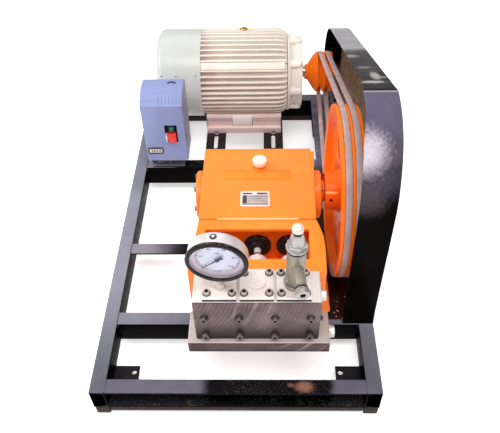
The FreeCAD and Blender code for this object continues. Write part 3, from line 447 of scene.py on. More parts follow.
def milled_front(name, light, dark, centre, low, high):
    """Face milled with wide fine arcs, darker and browner towards the bottom edge; its dark base tone is painted shade
    of the front faces.
    """
    t = Mat(name)
    w = t.nt.nodes.new("ShaderNodeVectorMath")
    w.operation = "SUBTRACT"
    t.link(w.inputs[0], t.obj())
    w.inputs[1].default_value = centre
    flat = t.scaled(1.0, 0.0, 1.0, w.outputs[0])
    rings = t.wave(34.0, 1.2, flat, "RINGS", "SPHERICAL", 3.0, 3.0)
    wide = t.wave(9.0, 2.0, flat, "RINGS", "SPHERICAL", 2.0, 1.5)
    cloud = t.noise(12.0, 6.0, 0.65, 0.6)
    col = t.mix(t.span(cloud, 0.32, 0.68), srgb(*dark), srgb(*light))
    col = t.mix(t.math("MULTIPLY", t.span(rings, 0.6, 1.0), t.span(t.noise(20.0, 4.0), 0.4, 0.62, 0.0, 0.36)), col, srgb(150, 134, 134))
    col = t.mix(t.math("MULTIPLY", t.span(wide, 0.8, 1.0), t.span(t.noise(8.0, 3.0), 0.5, 0.64, 0.0, 0.5)), col, srgb(170, 154, 154))
    stain = t.span(t.noise(16.0, 6.0, 0.7, 1.0), 0.54, 0.72, 0.0, 0.6)
    col = t.mix(stain, col, srgb(84, 44, 40))
    z = t.math("MULTIPLY_ADD", t.noise(18.0, 4.0, 0.6), 0.03, t.math("SUBTRACT", t.xyz()[2], 0.015))
    col = t.mix(t.span(z, low, high, 0.95, 0.0, smooth=True), col, srgb(38, 18, 17))
    dots = t.math("MULTIPLY", t.math("LESS_THAN", t.voronoi(170.0), 0.12), t.span(t.noise(20.0, 3.0), 0.5, 0.6, 0.0, 0.5))
    col = t.mix(dots, col, srgb(48, 26, 24))
    t.set(color=col, rough=t.span(cloud, 0.3, 0.75, 0.34, 0.55), metal=0.25, spec=0.15,
          normal=t.bump(rings, 0.12, 0.0005))
    return t.m


M["block_front"] = milled_front("milled_block_front_painted_shade", (122, 103, 103), (82, 64, 64), (-0.30, 0.0, 0.52), 0.305, 0.375)
M["manifold_front"] = milled_front("milled_manifold_front_painted_shade", (80, 61, 63), (52, 36, 38), (-0.20, 0.0, 0.62), 0.25, 0.275)
M["bright"] = steel("polished_steel", (186, 184, 182), (150, 147, 145), 0.3, 0.6, (1, 1, 6), 0.3, 0.05, None, 0.08)
# near-white, mostly non-metal steel for the glands and plunger rods: painted reflection standing for bright chrome
M["silver"] = steel("gland_steel_painted_reflection", (250, 248, 246), (214, 208, 204), 0.3, 0.3, (1, 1, 6), 0.3, 0.05, None, 0.08)
M["satin"] = steel("turned_steel", (158, 149, 138), (124, 114, 103), 0.4, 0.45, (1, 1, 14), 0.5, 0.2, None, 0.25,
                   ((120, 96, 78), 0.35))
M["gauge_case"] = steel("gauge_case_steel", (236, 226, 224), (206, 196, 194), 0.36, 0.55, (1, 1, 1), 0.3, 0.05, None, 0.1)
M["bolt"] = steel("bolt_steel", (112, 100, 100), (62, 50, 50), 0.38, 0.7, (1, 1, 1), 0.4, 0.3, None, 0.3)
M["manifold_top"] = steel("milled_manifold_top", (192, 178, 172), (164, 150, 145), 0.42, 0.3, (1, 9, 1), 0.5, 0.3, None, 0.2,
                         ((150, 128, 118), 0.35))
M["zinc_plug"] = steel("zinc_plug_steel", (206, 204, 202), (168, 165, 163), 0.36, 0.4, (1, 1, 1), 0.3, 0.1, None, 0.1)
M["knob"] = steel("knob_pale_steel", (232, 224, 208), (206, 196, 180), 0.36, 0.3, (1, 1, 1), 0.2, 0.05, None, 0.1)
# lighter steel for the socket screws on top of the covers, the same screws as on the front: painted light
M["bolt_top"] = steel("bolt_head_painted_light", (184, 169, 165), (128, 113, 109), 0.34, 0.6, (1, 1, 1), 0.4, 0.1, None, 0.2)
M["screw"] = steel("zinc_screw", (212, 208, 200), (168, 162, 152), 0.3, 0.9, (1, 1, 1), 0.4, 0.2, None, 0.2)
M["brass"] = steel("brass_fitting", (214, 180, 96), (156, 120, 56), 0.3, 0.9, (1, 1, 1), 0.4, 0.2, None, 0.2)
M["shaft"] = steel("turned_shaft", (178, 174, 168), (130, 124, 118), 0.25, 1.0, (12, 1, 1), 0.5, 0.3, None, 0.3)


def rubber(name, light, dark, rough=0.75, grain=0.4, scale=300.0, spec=0.35):
    t = Mat(name)
    c = t.noise(30.0, 5.0, 0.6)
    col = t.mix(t.span(c, 0.3, 0.7), srgb(*dark), srgb(*light))
    dust = t.math("MULTIPLY", t.up(0.5, 1.0), t.span(t.noise(80.0, 4.0), 0.5, 0.7, 0.0, 0.3))
    col = t.mix(dust, col, srgb(150, 140, 130))
    t.set(color=col, rough=t.span(t.noise(60.0), 0.3, 0.7, rough * 0.85, min(1.0, rough * 1.15)), spec=spec,
          normal=t.bump(t.noise(scale, 4.0, 0.6), grain, 0.0008))
    return t.m


M["rubber"] = rubber("seal_rubber_black", (30, 27, 26), (14, 12, 12), 0.55, 0.25)
M["pad"] = rubber("foot_rubber_dark", (54, 36, 30), (22, 15, 14), 0.8, 0.5)
M["nylon"] = rubber("gland_nylon_black", (40, 38, 40), (22, 21, 23), 0.45, 0.2, 200.0, 0.5)
M["plug"] = rubber("gauge_plug_rubber", (78, 78, 80), (58, 58, 60), 0.7, 0.15, 300.0, 0.12)
M["black_gloss"] = rubber("gauge_ring_black", (30, 24, 26), (16, 12, 14), 0.3, 0.05, 300.0, 0.14)
M["dark"] = rubber("dark_inside", (16, 15, 16), (7, 6, 7), 0.9, 0.2)
M["starter_dark"] = rubber("starter_recess", (34, 32, 40), (15, 14, 19), 0.5, 0.2)


def belt():
    t = Mat("belt_fabric")
    across = t.noise(26.0, 4.0, 0.6)
    col = t.mix(t.span(across, 0.3, 0.7), srgb(166, 142, 142), srgb(204, 174, 172))
    weave_v = t.scaled(520.0, 260.0, 260.0)
    weave = t.nt.nodes.new("ShaderNodeTexWave")
    t.link(weave.inputs["Vector"], weave_v)
    weave.inputs["Scale"].default_value = 0.6
    weave.inputs["Distortion"].default_value = 1.2
    col = t.mix(t.math("MULTIPLY", weave.outputs["Fac"], 0.3), col, srgb(140, 118, 118))
    lines = t.span(t.noise(9.0, 4.0, 0.6, 0.0, t.scaled(60.0, 1.0, 1.0)), 0.45, 0.7)
    col = t.mix(t.math("MULTIPLY", lines, 0.35), col, srgb(206, 184, 178))
    tan = t.spot((0.296, 0.53, 0.352), 0.040, 0.9, (0.8, 0.7, 0.7))
    tan2 = t.spot((0.320, 0.53, 0.352), 0.052, 0.9, (0.8, 0.7, 0.7))
    col = t.mix(t.math("MULTIPLY", tan2, 0.8), col, srgb(206, 162, 98))
    col = t.mix(t.math("MULTIPLY", tan, 0.45), col, srgb(190, 156, 110))
    t.set(color=col, rough=0.62, spec=0.2, normal=t.bump(weave.outputs["Fac"], 0.35, 0.0005))
    return t.m


M["belt"] = belt()


def plastic(name, light, dark, rough=0.35, grain=0.1):
    t = Mat(name)
    c = t.noise(60.0, 4.0, 0.6)
    col = t.mix(t.span(c, 0.3, 0.7), srgb(*dark), srgb(*light))
    t.set(color=col, rough=t.span(t.noise(90.0), 0.3, 0.7, rough * 0.8, rough * 1.2), spec=0.5,
          normal=t.bump(t.noise(420.0), grain, 0.0005))
    return t.m


M["green"] = plastic("key_green", (34, 112, 92), (20, 84, 70))
M["red"] = plastic("key_red", (236, 60, 56), (216, 44, 42), 0.4)
M["cap"] = plastic("cap_moulded_cream", (255, 240, 216), (246, 226, 196), 0.42)
M["dial"] = plastic("dial_white", (236, 236, 248), (226, 226, 240), 0.5, 0.02)
M["dial_ring"] = plastic("dial_rim", (246, 226, 236), (236, 214, 226), 0.5, 0.02)
M["ink"] = plastic("dial_ink", (44, 42, 58), (34, 32, 46), 0.6, 0.02)
M["plate"] = plastic("name_plate_alloy", (232, 224, 220), (206, 198, 196), 0.3, 0.1)
M["plate_mid"] = plastic("name_plate_field", (186, 174, 168), (160, 148, 142), 0.4, 0.1)
M["plate_ink"] = plastic("name_plate_ink", (64, 54, 54), (48, 40, 40), 0.5, 0.1)
M["plate_black"] = plastic("plate_black", (52, 46, 52), (30, 27, 32), 0.35, 0.1)


def glass():
    """Clear lens: see-through with a faint gloss that grows at the rim."""
    t = Mat("gauge_lens")
    n = t.noise(40.0, 3.0)
    t.nt.nodes.remove(t.b)
    clear = t.nt.nodes.new("ShaderNodeBsdfTransparent")
    t.link(clear.inputs["Color"], t.mix(n, (0.97, 0.97, 1.0, 1.0), (1.0, 1.0, 1.0, 1.0)))
    gloss = t.nt.nodes.new("ShaderNodeBsdfGlossy")
    t.link(gloss.inputs["Roughness"], t.span(n, 0.3, 0.8, 0.04, 0.09))
    lw = t.nt.nodes.new("ShaderNodeLayerWeight")
    lw.inputs["Blend"].default_value = 0.12
    mixer = t.nt.nodes.new("ShaderNodeMixShader")
    t.link(mixer.inputs[0], t.math("MULTIPLY", lw.outputs["Fresnel"], 0.6))
    t.nt.links.new(clear.outputs[0], mixer.inputs[1])
    t.nt.links.new(gloss.outputs[0], mixer.inputs[2])
    t.nt.links.new(mixer.outputs[0], t.out.inputs["Surface"])
    return t.m


M["glass"] = glass()


# ---------------------------------------------------------------------------
# Mesh tools
# ---------------------------------------------------------------------------
def frame_of(origin, axis, up=None):
    """Local z along axis, local x towards up."""
    z = Vector(axis).normalized()
    ref = Vector(up) if up is not None else (Vector((0, 0, 1)) if abs(z.z) < 0.9 else Vector((0, -1, 0)))
    x = (ref - z * ref.dot(z)).normalized()
    y = z.cross(x)
    return Matrix(((x.x, y.x, z.x, origin[0]), (x.y, y.y, z.y, origin[1]), (x.z, y.z, z.z, origin[2]), (0, 0, 0, 1)))


def fillet(pts, r, n=3, closed=True):
    """Round the corners of an outline; r is one radius or one for each point."""
    out = []
    m = len(pts)
    for i, p in enumerate(pts):
        rr = r[i] if isinstance(r, (list, tuple)) else r
        if (not closed and i in (0, m - 1)) or rr <= 0:
            out.append(tuple(p))
            continue
        a, b, c = Vector(pts[i - 1]), Vector(p), Vector(pts[(i + 1) % m])
        u, w = a - b, c - b
        lu, lw = u.length, w.length
        u /= lu
        w /= lw
        ang = math.acos(max(-1.0, min(1.0, u.dot(w))))
        if ang > math.pi - 0.03:
            out.append(tuple(p))
            continue
        t = min(rr / math.tan(ang / 2), 0.48 * lu, 0.48 * lw)
        rr = t * math.tan(ang / 2)
        mid = b + (u + w).normalized() * (rr / math.sin(ang / 2))
        p1, p2 = b + u * t - mid, b + w * t - mid
        a1, a2 = math.atan2(p1.y, p1.x), math.atan2(p2.y, p2.x)
        d = (a2 - a1 + math.pi) % (2 * math.pi) - math.pi
        for k in range(n + 1):
            q = a1 + d * k / n
            out.append((mid.x + rr * math.cos(q), mid.y + rr * math.sin(q)))
    return out


def inset(pts, d):
    """The same closed outline, moved inward by d."""
    area = sum(pts[i - 1][0] * pts[i][1] - pts[i][0] * pts[i - 1][1] for i in range(len(pts)))
    s = 1.0 if area > 0 else -1.0
    out = []
    m = len(pts)
    for i in range(m):
        a, b, c = Vector(pts[i - 1]), Vector(pts[i]), Vector(pts[(i + 1) % m])
        e1, e2 = b - a, c - b
        if e1.length < 1e-7 or e2.length < 1e-7:
            out.append(tuple(b))
            continue
        n1 = Vector((-e1.y, e1.x)).normalized() * s
        n2 = Vector((-e2.y, e2.x)).normalized() * s
        u = n1 + n2
        if u.length < 1e-4:
            out.append(tuple(b))
            continue
        u.normalize()
        out.append(tuple(b + u * (d / max(0.35, u.dot(n1)))))
    return out


class Piece:
    """Faces collected in millimetres and written as one object."""

    def __init__(self, name, mats):
        self.name = name
        self.mats = mats if isinstance(mats, (list, tuple)) else [mats]
        self.v, self.f, self.s = [], [], []

    def add(self, verts, faces, slot=0, M=None):
        base = len(self.v)
        if M is not None:
            verts = [M @ Vector(v) for v in verts]
        self.v.extend((v[0], v[1], v[2]) for v in verts)
        self.f.extend([tuple(i + base for i in f) for f in faces])
        self.s.extend([slot] * len(faces) if isinstance(slot, int) else slot)

    def lathe(self, prof, M, seg=64, slot=0, closed=False, sweep=None):
        """Outline of (radius, height) points turned about the local z axis."""
        rings, verts, faces = [], [], []
        for r, z in prof:
            if r < 1e-6:
                rings.append([len(verts)])
                verts.append((0, 0, z))
            else:
                rings.append(list(range(len(verts), len(verts) + seg)))
                for k in range(seg):
                    a = 2 * math.pi * k / seg
                    verts.append((r * math.cos(a), r * math.sin(a), z))
        pairs = list(zip(rings, rings[1:]))
        if closed:
            pairs.append((rings[-1], rings[0]))
        for a, b in pairs:
            for k in range(seg):
                k2 = (k + 1) % seg
                if len(a) == 1 and len(b) == 1:
                    break
                if len(a) == 1:
                    faces.append((a[0], b[k2], b[k]))
                elif len(b) == 1:
                    faces.append((a[k], a[k2], b[0]))
                else:
                    faces.append((a[k], a[k2], b[k2], b[k]))
        if not closed:
            if len(rings[0]) > 1:
                faces.append(tuple(reversed(rings[0])))
            if len(rings[-1]) > 1:
                faces.append(tuple(rings[-1]))
        self.add(verts, faces, slot, M)

    def solid(self, pts, lo, hi, plane="YZ", edge=0.8, steps=2, slot=0, M=None, ends=(True, True), cap=None):
        """Outline pushed from lo to hi, with the end edges rounded."""
        area = sum(pts[i - 1][0] * pts[i][1] - pts[i][0] * pts[i - 1][1] for i in range(len(pts)))
        if area < 0:
            pts = list(reversed(pts))
        rings = []
        edge = min(edge, abs(hi - lo) * 0.45)
        for k in range(steps + 1):
            a = math.pi / 2 * k / steps
            rings.append((lo + edge * (1 - math.cos(a)), edge * (1 - math.sin(a)) if ends[0] else 0.0))
        for k in range(steps, -1, -1):
            a = math.pi / 2 * k / steps
            rings.append((hi - edge * (1 - math.cos(a)), edge * (1 - math.sin(a)) if ends[1] else 0.0))
        verts, faces, n = [], [], len(pts)
        for pos, ins in rings:
            ring = inset(pts, ins) if ins > 1e-6 else pts
            for p in ring:
                if plane == "YZ":
                    verts.append((pos, p[0], p[1]))
                elif plane == "XZ":
                    verts.append((p[0], pos, p[1]))
                else:
                    verts.append((p[0], p[1], pos))
        for i in range(len(rings) - 1):
            for k in range(n):
                k2 = (k + 1) % n
                faces.append((i * n + k, i * n + k2, (i + 1) * n + k2, (i + 1) * n + k))
        slots = [slot] * len(faces)
        faces.append(tuple(reversed(range(n))))
        faces.append(tuple(range((len(rings) - 1) * n, len(rings) * n)))
        slots += [slot if cap is None else cap] * 2
        self.add(verts, faces, slots, M)

    def slab(self, x0, x1, y0, y1, z0, z1, r=1.0, slot=0, M=None, n=3, plan=None):
        pts = fillet([(x0, y0), (x1, y0), (x1, y1), (x0, y1)], plan if plan is not None else r, n)
        self.solid(pts, z0, z1, "XY", r, 2, slot, M)

    def hexhead(self, pos, axis, af, h, slot=0, washer=0.0, turn=0.0, up=None):
        """Hexagon head with a chamfered top, on a washer where one is asked for."""
        M = frame_of(pos, axis, up)
        z0 = 0.0
        if washer:
            self.lathe([(0, 0), (washer - 0.5, 0), (washer, 0.4), (washer, 1.6), (washer - 0.6, 2.0), (0, 2.0)], M, 28, slot)
            z0 = 1.9
        R = af / math.sqrt(3)
        verts, faces = [], []
        for z, r, sides in ((z0, R, 6), (z0 + h * 0.82, R, 6), (z0 + h, R * 0.86, 6)):
            for k in range(6):
                a = math.pi / 3 * k + turn
                verts.append((r * math.cos(a), r * math.sin(a), z))
        for i in range(2):
            for k in range(6):
                faces.append((i * 6 + k, i * 6 + (k + 1) % 6, (i + 1) * 6 + (k + 1) % 6, (i + 1) * 6 + k))
        faces.append(tuple(reversed(range(6))))
        faces.append(tuple(range(12, 18)))
        self.add(verts, faces, slot, M)

    def sockethead(self, pos, axis, d, h, slot=0, inner=1, seg=24, af=None):
        """Socket screw head: plain drum with a hexagon recess."""
        M = frame_of(pos, axis)
        R, af = d / 2, af or d * 0.5
        prof = [(R, 0), (R, h - 1.4), (R - 0.5, h - 0.5), (R - 1.3, h)]
        verts, faces, slots = [], [], []
        for j, (r, z) in enumerate(prof):
            for k in range(seg):
                a = 2 * math.pi * k / seg
                verts.append((r * math.cos(a), r * math.sin(a), z))
        hexr = []
        for k in range(seg):
            a = 2 * math.pi * k / seg
            b = (a % (math.pi / 3)) - math.pi / 6
            hexr.append(af / 2 / math.cos(b))
        for z in (h, h - 0.3, h * 0.45):
            for k in range(seg):
                a = 2 * math.pi * k / seg
                verts.append((hexr[k] * math.cos(a), hexr[k] * math.sin(a), z))
        for i in range(6):
            for k in range(seg):
                k2 = (k + 1) % seg
                faces.append((i * seg + k, i * seg + k2, (i + 1) * seg + k2, (i + 1) * seg + k))
                slots.append(slot if i < 4 else inner)
        faces.append(tuple(reversed(range(seg))))
        slots.append(slot)
        faces.append(tuple(range(6 * seg, 7 * seg)))
        slots.append(inner)
        self.add(verts, faces, slots, M)

    def panhead(self, pos, axis, r, h, slot=0, cross=True, inner=None, up=None):
        M = frame_of(pos, axis, up)
        self.lathe([(0, -0.5), (r, -0.5), (r, h * 0.35), (r * 0.86, h * 0.78), (r * 0.5, h), (0, h * 1.02)], M, 20, slot)
        if cross:
            w = r * 0.13
            for q in (0, math.pi / 2):
                R = M @ Matrix.Rotation(q, 4, "Z")
                self.slab(-r * 0.6, r * 0.6, -w, w, h * 0.9, h * 1.06, 0.05, inner if inner is not None else slot, R, 1)

    def bead(self, a, b, r=3.0, pitch=3.4, slot=0, seed=0.0):
        """Weld bead with a scaled surface."""
        a, b = Vector(a), Vector(b)
        n = max(4, int((b - a).length / pitch * 3))
        z = (b - a).normalized()
        ref = Vector((0, 0, 1)) if abs(z.z) < 0.9 else Vector((0, 1, 0))
        x = (ref - z * ref.dot(z)).normalized()
        y = z.cross(x)
        verts, faces, seg = [], [], 8
        for i in range(n + 1):
            t = i / n
            s = (i % 3) / 3.0
            rr = r * (0.86 + 0.2 * s + 0.07 * math.sin(i * 1.7 + seed) + 0.05 * math.sin(i * 0.61 + seed * 3))
            if i in (0, n):
                rr *= 0.5
            c = a + (b - a) * t + x * 0.25 * math.sin(i * 0.9 + seed) + y * 0.2 * math.sin(i * 1.3 + seed)
            for k in range(seg):
                q = 2 * math.pi * k / seg
                verts.append(c + x * rr * math.cos(q) + y * rr * math.sin(q))
        for i in range(n):
            for k in range(seg):
                k2 = (k + 1) % seg
                faces.append((i * seg + k, i * seg + k2, (i + 1) * seg + k2, (i + 1) * seg + k))
        faces.append(tuple(reversed(range(seg))))
        faces.append(tuple(range(n * seg, (n + 1) * seg)))
        self.add(verts, faces, slot)

    def mesh_of(self, data, slot=0, M=None):
        self.add([v.co for v in data.vertices], [tuple(p.vertices) for p in data.polygons], slot, M)

    def done(self, body="skid", replaces=(), angle=38.0):
        me = bpy.data.meshes.new(self.name)
        me.from_pydata([at(v) for v in self.v], [], self.f)
        me.polygons.foreach_set("material_index", self.s)
        for m in self.mats:
            me.materials.append(m)
        bm = bmesh.new()
        bm.from_mesh(me)
        bmesh.ops.recalc_face_normals(bm, faces=bm.faces)
        bm.to_mesh(me)
        bm.free()
        return finish_object(me, self.name, body, replaces, angle)


def finish_object(me, name, body, replaces, angle):
    me.validate()
    me.shade_smooth()
    me.set_sharp_from_angle(angle=math.radians(angle))
    ob = bpy.data.objects.new(name, me)
    scene.collection.objects.link(ob)
    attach(ob, body)
    if replaces:
        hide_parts(*replaces)
    return ob


def refine(node, mats, body="skid", bevel=0.8, seg=2, limit=40.0, angle=36.0, choose=None, name=None):
    """A finished copy of a plain frame piece: same solid, edges rounded inward."""
    bm = bmesh.new()
    bm.from_mesh(nodes[node].data)
    bmesh.ops.remove_doubles(bm, verts=bm.verts, dist=2e-6)
    bmesh.ops.dissolve_limit(bm, angle_limit=math.radians(0.25), verts=bm.verts, edges=bm.edges)
    bm.normal_update()
    if bevel:
        hard = [e for e in bm.edges if len(e.link_faces) == 2 and e.calc_face_angle(0.0) > math.radians(limit)]
        bmesh.ops.bevel(bm, geom=hard, offset=bevel * 0.001, segments=seg, profile=0.5, affect="EDGES",
                        clamp_overlap=False)
        bm.normal_update()
    for f in bm.faces:
        f.material_index = choose(f.normal, f.calc_center_median()) if choose else 0
    me = bpy.data.meshes.new(name or node + "_finished")
    bm.to_mesh(me)
    bm.free()
    for m in (mats if isinstance(mats, (list, tuple)) else [mats]):
        me.materials.append(m)
    return finish_object(me, name or node + "_finished", body, [node], angle)


# ---------------------------------------------------------------------------
# Skid frame
# ---------------------------------------------------------------------------
def channel_outline(heel, toe, top, bottom, web=5.0, lip=7.0):
    """Rolled channel section in (across, height); the web stands at the heel."""
    s = 1.0 if toe > heel else -1.0
    pts = [(heel, bottom), (toe, bottom), (toe, bottom + lip), (heel + s * web, bottom + lip),
           (heel + s * web, top - lip), (toe, top - lip), (toe, top), (heel, top)]
    return fillet(pts, [1.6, 1.0, 3.0, 7.0, 7.0, 3.0, 1.0, 1.6], 4)


for side, name in ((-1, "left_rail"), (1, "right_rail")):
    p = Piece(name + "_channel", M["skid"])
    p.solid(channel_outline(side * 335.0, side * 375.0, 0.0, -75.0), 0.0, 1290.0, "XZ", 1.0)
    p.done("skid", [name])
p = Piece("front_beam_channel", M["beam"])
p.solid(channel_outline(40.0, 0.0, 0.0, -75.0), -334.9, 334.9, "YZ", 0.3, 1)
p.done("skid", ["front_beam"])
for name, heel, toe in (("rear_beam", 1250.0, 1290.0), ("front_cross_member", 208.0, 248.0),
                        ("rear_cross_member", 860.0, 900.0)):
    p = Piece(name + "_channel", M["cross3"] if name == "rear_cross_member" else M["skid"])
    p.solid(channel_outline(heel, toe, 0.0, -75.0), -334.9, 334.9, "YZ", 0.3, 1)
    if name == "rear_cross_member":
        for x in (-194.0, -160.0):
            p.hexhead((x, 880.0, -0.1), (0, 0, 1), 10.0, 3.0)
    p.done("skid", [name])
p = Piece("middle_cross_member_angle", M["cross2"])
p.solid(fillet([(466, 0), (506, 0), (506, -40), (501, -40), (501, -6), (466, -6)], [1.2, 1.2, 1, 1, 5, 1], 3),
        -334.9, 334.9, "YZ", 0.3, 1)
p.done("skid", ["middle_cross_member"])

p = Piece("skid_weld_beads", M["weld"])
seed = 0.0
for side in (-1, 1):
    x = side * 333.2
    for y0, y1, webs in ((2, 38, (37.5,)), (210, 246, (206.6,)), (468, 504, ()), (862, 898, (858.6,)),
                         (1252, 1288, (1251.5,))):
        seed += 1.3
        p.bead((side * 335.2, y0, -1.0), (side * 335.2, y1, -1.0), 2.6, slot=0, seed=seed)
        for yw in webs:
            p.bead((x, yw, -66), (x, yw, -9), 2.8, seed=seed + 0.5)
    for y0, y1 in ((42, 118), (1112, 1248)):
        p.bead((side * 333.6, y0, -65.6), (side * 333.6, y1, -65.6), 2.6, seed=seed + 0.9)
for x in (-106.5, 223.5):
    for y in (209.5, 246.5, 467.5, 504.5):
        s = 1 if x < 0 else -1
        p.bead((x + s * 2, y, 0.6), (x + s * 42, y, 0.6), 2.4, seed=x + y)
for x0 in (-133, 75):
    for y in (861.0, 899.0, 1251.0, 1289.0):
        p.bead((x0 + 2, y, 0.8), (x0 + 68, y, 0.8), 2.3, seed=x0 + y)
p.done("skid")



def holed_plate(piece, x0, x1, y0, y1, z0, z1, hx, hy, hr, slot=0, edge=0.9, n=48):
    """Rectangular plate with one round hole, its upper edges softened."""
    def border(inset_by):
        a0, a1, b0, b1 = x0 + inset_by, x1 - inset_by, y0 + inset_by, y1 - inset_by
        out = []
        for k in range(n):
            a = 2 * math.pi * k / n
            c, d = math.cos(a), math.sin(a)
            t = min([((a1 if c > 0 else a0) - hx) / c if abs(c) > 1e-9 else 1e9,
                     ((b1 if d > 0 else b0) - hy) / d if abs(d) > 1e-9 else 1e9])
            out.append((hx + c * t, hy + d * t))
        for x, y in ((a0, b0), (a0, b1), (a1, b0), (a1, b1)):
            best = min(range(n), key=lambda i: (out[i][0] - x) ** 2 + (out[i][1] - y) ** 2)
            out[best] = (x, y)
        return out

    hole = [(hx + hr * math.cos(2 * math.pi * k / n), hy + hr * math.sin(2 * math.pi * k / n)) for k in range(n)]
    rings = [[(x, y, z0) for x, y in hole], [(x, y, z0) for x, y in border(0)], [(x, y, z1 - edge) for x, y in border(0)],
             [(x, y, z1 - edge * 0.3) for x, y in border(edge * 0.3)], [(x, y, z1) for x, y in border(edge)],
             [(x, y, z1) for x, y in hole]]
    verts = [v for ring in rings for v in ring]
    faces = []
    for i in range(len(rings)):
        j = (i + 1) % len(rings)
        for k in range(n):
            k2 = (k + 1) % n
            faces.append((i * n + k, i * n + k2, j * n + k2, j * n + k))
    piece.add(verts, faces, slot)


p = Piece("corner_gusset_plates", M["skid"])
for side in (-1, 1):
    for depth, reach, y_in, hy in ((78.0, 67.0, 40.1, 99.0), (-138.0, 71.0, 1249.9, 1191.0)):
        xa, xb = sorted((side * 334.9, side * (335.0 - reach)))
        ya, yb = sorted((y_in, (40.0 if depth > 0 else 1250.0) + depth))
        holed_plate(p, xa, xb, ya, yb, -74.9, -67.1, side * 281.0, hy, 7.05)
p.done("skid", ["corner_gussets"])
refine("motor_slide_rails", M["slide"], bevel=0.7)
# foot pads and packing strips in dark rubber; the strips under the front beam are partly painted shade, standing for
# the dark band beneath the beam
for node in ("foot_pads", "packing_strips"):
    refine(node, M["pad"], bevel=1.5 if node == "foot_pads" else 2.0)
p = Piece("pump_bearer_channels", M["bearer"])
p.solid(channel_outline(-106.5, -61.5, 100.0, 0.0), 208.0, 506.0, "XZ", 0.8)
p.solid(channel_outline(223.5, 178.5, 100.0, 0.0), 208.0, 506.0, "XZ", 0.8)
p.done("skid", ["pump_bearers"])

# bolts that hold the pump to its bearers and the motor feet to the slide rails
p = Piece("mounting_bolts", [M["bolt"], M["dark"], M["screw"]])
for x in (-98.0, 215.0):
    for y in (300.0, 470.0):
        p.hexhead((x + (14 if x < 0 else -14), y, 92.9), (0, 0, -1), 19, 10, 0, 13)
for x0 in (-98.0, 110.0):
    for y in (1050.0, 1332.0):
        p.hexhead((x0, y - (8 if y < 1100 else -8), 10.0), (0, 0, 1), 18, 10, 2, 12.5)
        p.hexhead((x0, y - (8 if y < 1100 else -8), 0.0), (0, 0, -1), 18, 10, 2, 12.5)
p.done("skid")


# ---------------------------------------------------------------------------
# Motor
# ---------------------------------------------------------------------------
MY, MZ = 1191.0, 170.0


def along_x(x, y, z):
    return frame_of((x, y, z), (1, 0, 0), (0, 0, 1))


AXM = along_x(0, MY, MZ)          # local z is x, local x is up, local y is towards the front
p = Piece("motor_finned_frame", [M["cream"], M["brass"], M["dark"], M["screw"]])
p.lathe([(0, -144.8), (132, -144.8), (134, -142), (134, 150), (130, 158), (100, 159.8), (0, 159.8)], AXM, 96, 0)
fin_angles = [5.5 + 7.5 * k for k in range(-7, 6)] + [55.5 + 7.5 * k for k in range(10)] + [-59.5 - 7.5 * k for k in range(10)]
for deg in fin_angles:
    a = math.radians(deg)
    R = AXM @ Matrix.Rotation(a, 4, "Z")
    # outline of one fin seen from the side: (along, radius)
    line = [(-144.6, 127), (-144.6, 155.6), (120, 155.6), (136, 154.0), (148, 149.6), (155, 143.6), (158.8, 136), (159.5, 127)]
    verts, faces = [], []
    for x, r in line:
        t = max(0.0, (r - 127) / 29.0)
        w = 3.7 - 1.3 * t
        for side in (-1, 1):
            verts.append((r - (0.9 if r > 128 else 0), side * w, x))
        verts.append((r, 0.0, x))
    n = len(line)
    for i in range(n - 1):
        a0, b0, c0 = 3 * i, 3 * i + 1, 3 * i + 2
        a1, b1, c1 = a0 + 3, b0 + 3, c0 + 3
        faces.append((a0, a1, c1, c0))
        faces.append((c0, c1, b1, b0))
    faces.append(tuple(3 * i for i in range(n)))
    faces.append(tuple(3 * i + 1 for i in reversed(range(n))))
    faces.append((0, 2, 1))
    faces.append((3 * n - 3, 3 * n - 1, 3 * n - 2))
    faces.append((0, 1, 3 * n - 2, 3 * n - 3))
    p.add(verts, faces, 0, R)
# flat pads between fins, lifting eye seat and its brass fitting
for deg in (49.3, -53.3):
    R = AXM @ Matrix.Rotation(math.radians(deg), 4, "Z")
    p.solid(fillet([(126, -14), (151.5, -13), (153.5, -10), (153.5, 10), (151.5, 13), (126, 14)], [0, 3, 3, 3, 3, 0], 3), -144, 150,
            "XY", 0.8, 2, 0, R)
q = math.radians(14.5)
M1 = frame_of((6, MY, MZ), (0, math.sin(q), math.cos(q)), (1, 0, 0))
p.lathe([(0, 120), (17, 120), (16, 152), (14.5, 154.4), (0, 154.4)], M1, 32, 0)
p.lathe([(3.4, 152), (14.0, 152), (14.0, 158.6), (12.6, 160.0), (8.0, 160.4), (7.4, 162.6), (4.6, 163.2), (3.4, 162.6)], M1, 24, 1,
        closed=True)
p.lathe([(0, 158.5), (3.6, 158.5), (3.6, 161.4), (0, 161.4)], M1, 16, 2)
p.done("skid", ["motor_frame"], 50)

p = Piece("motor_cowl_shell", [M["cowl"], M["dark"], M["screw"]])
arc = [(130 + 25.9 * math.sin(q), -271.1 - 25.8 * math.cos(q)) for q in [math.pi / 2 * i / 8 for i in range(9)]]
shell = [(118.0, -296.9)] + arc + [(155.9, -146.5), (155.9, -141.6), (155.0, -141.2), (154.9, -141.6), (154.9, -271)]
shell += [(130 + 24.4 * math.sin(q), -271.1 - 24.3 * math.cos(q)) for q in [math.pi / 2 * i / 8 for i in range(8, -1, -1)]]
shell += [(118.0, -295.4)]
p.lathe(shell, AXM, 112, 0, closed=True)
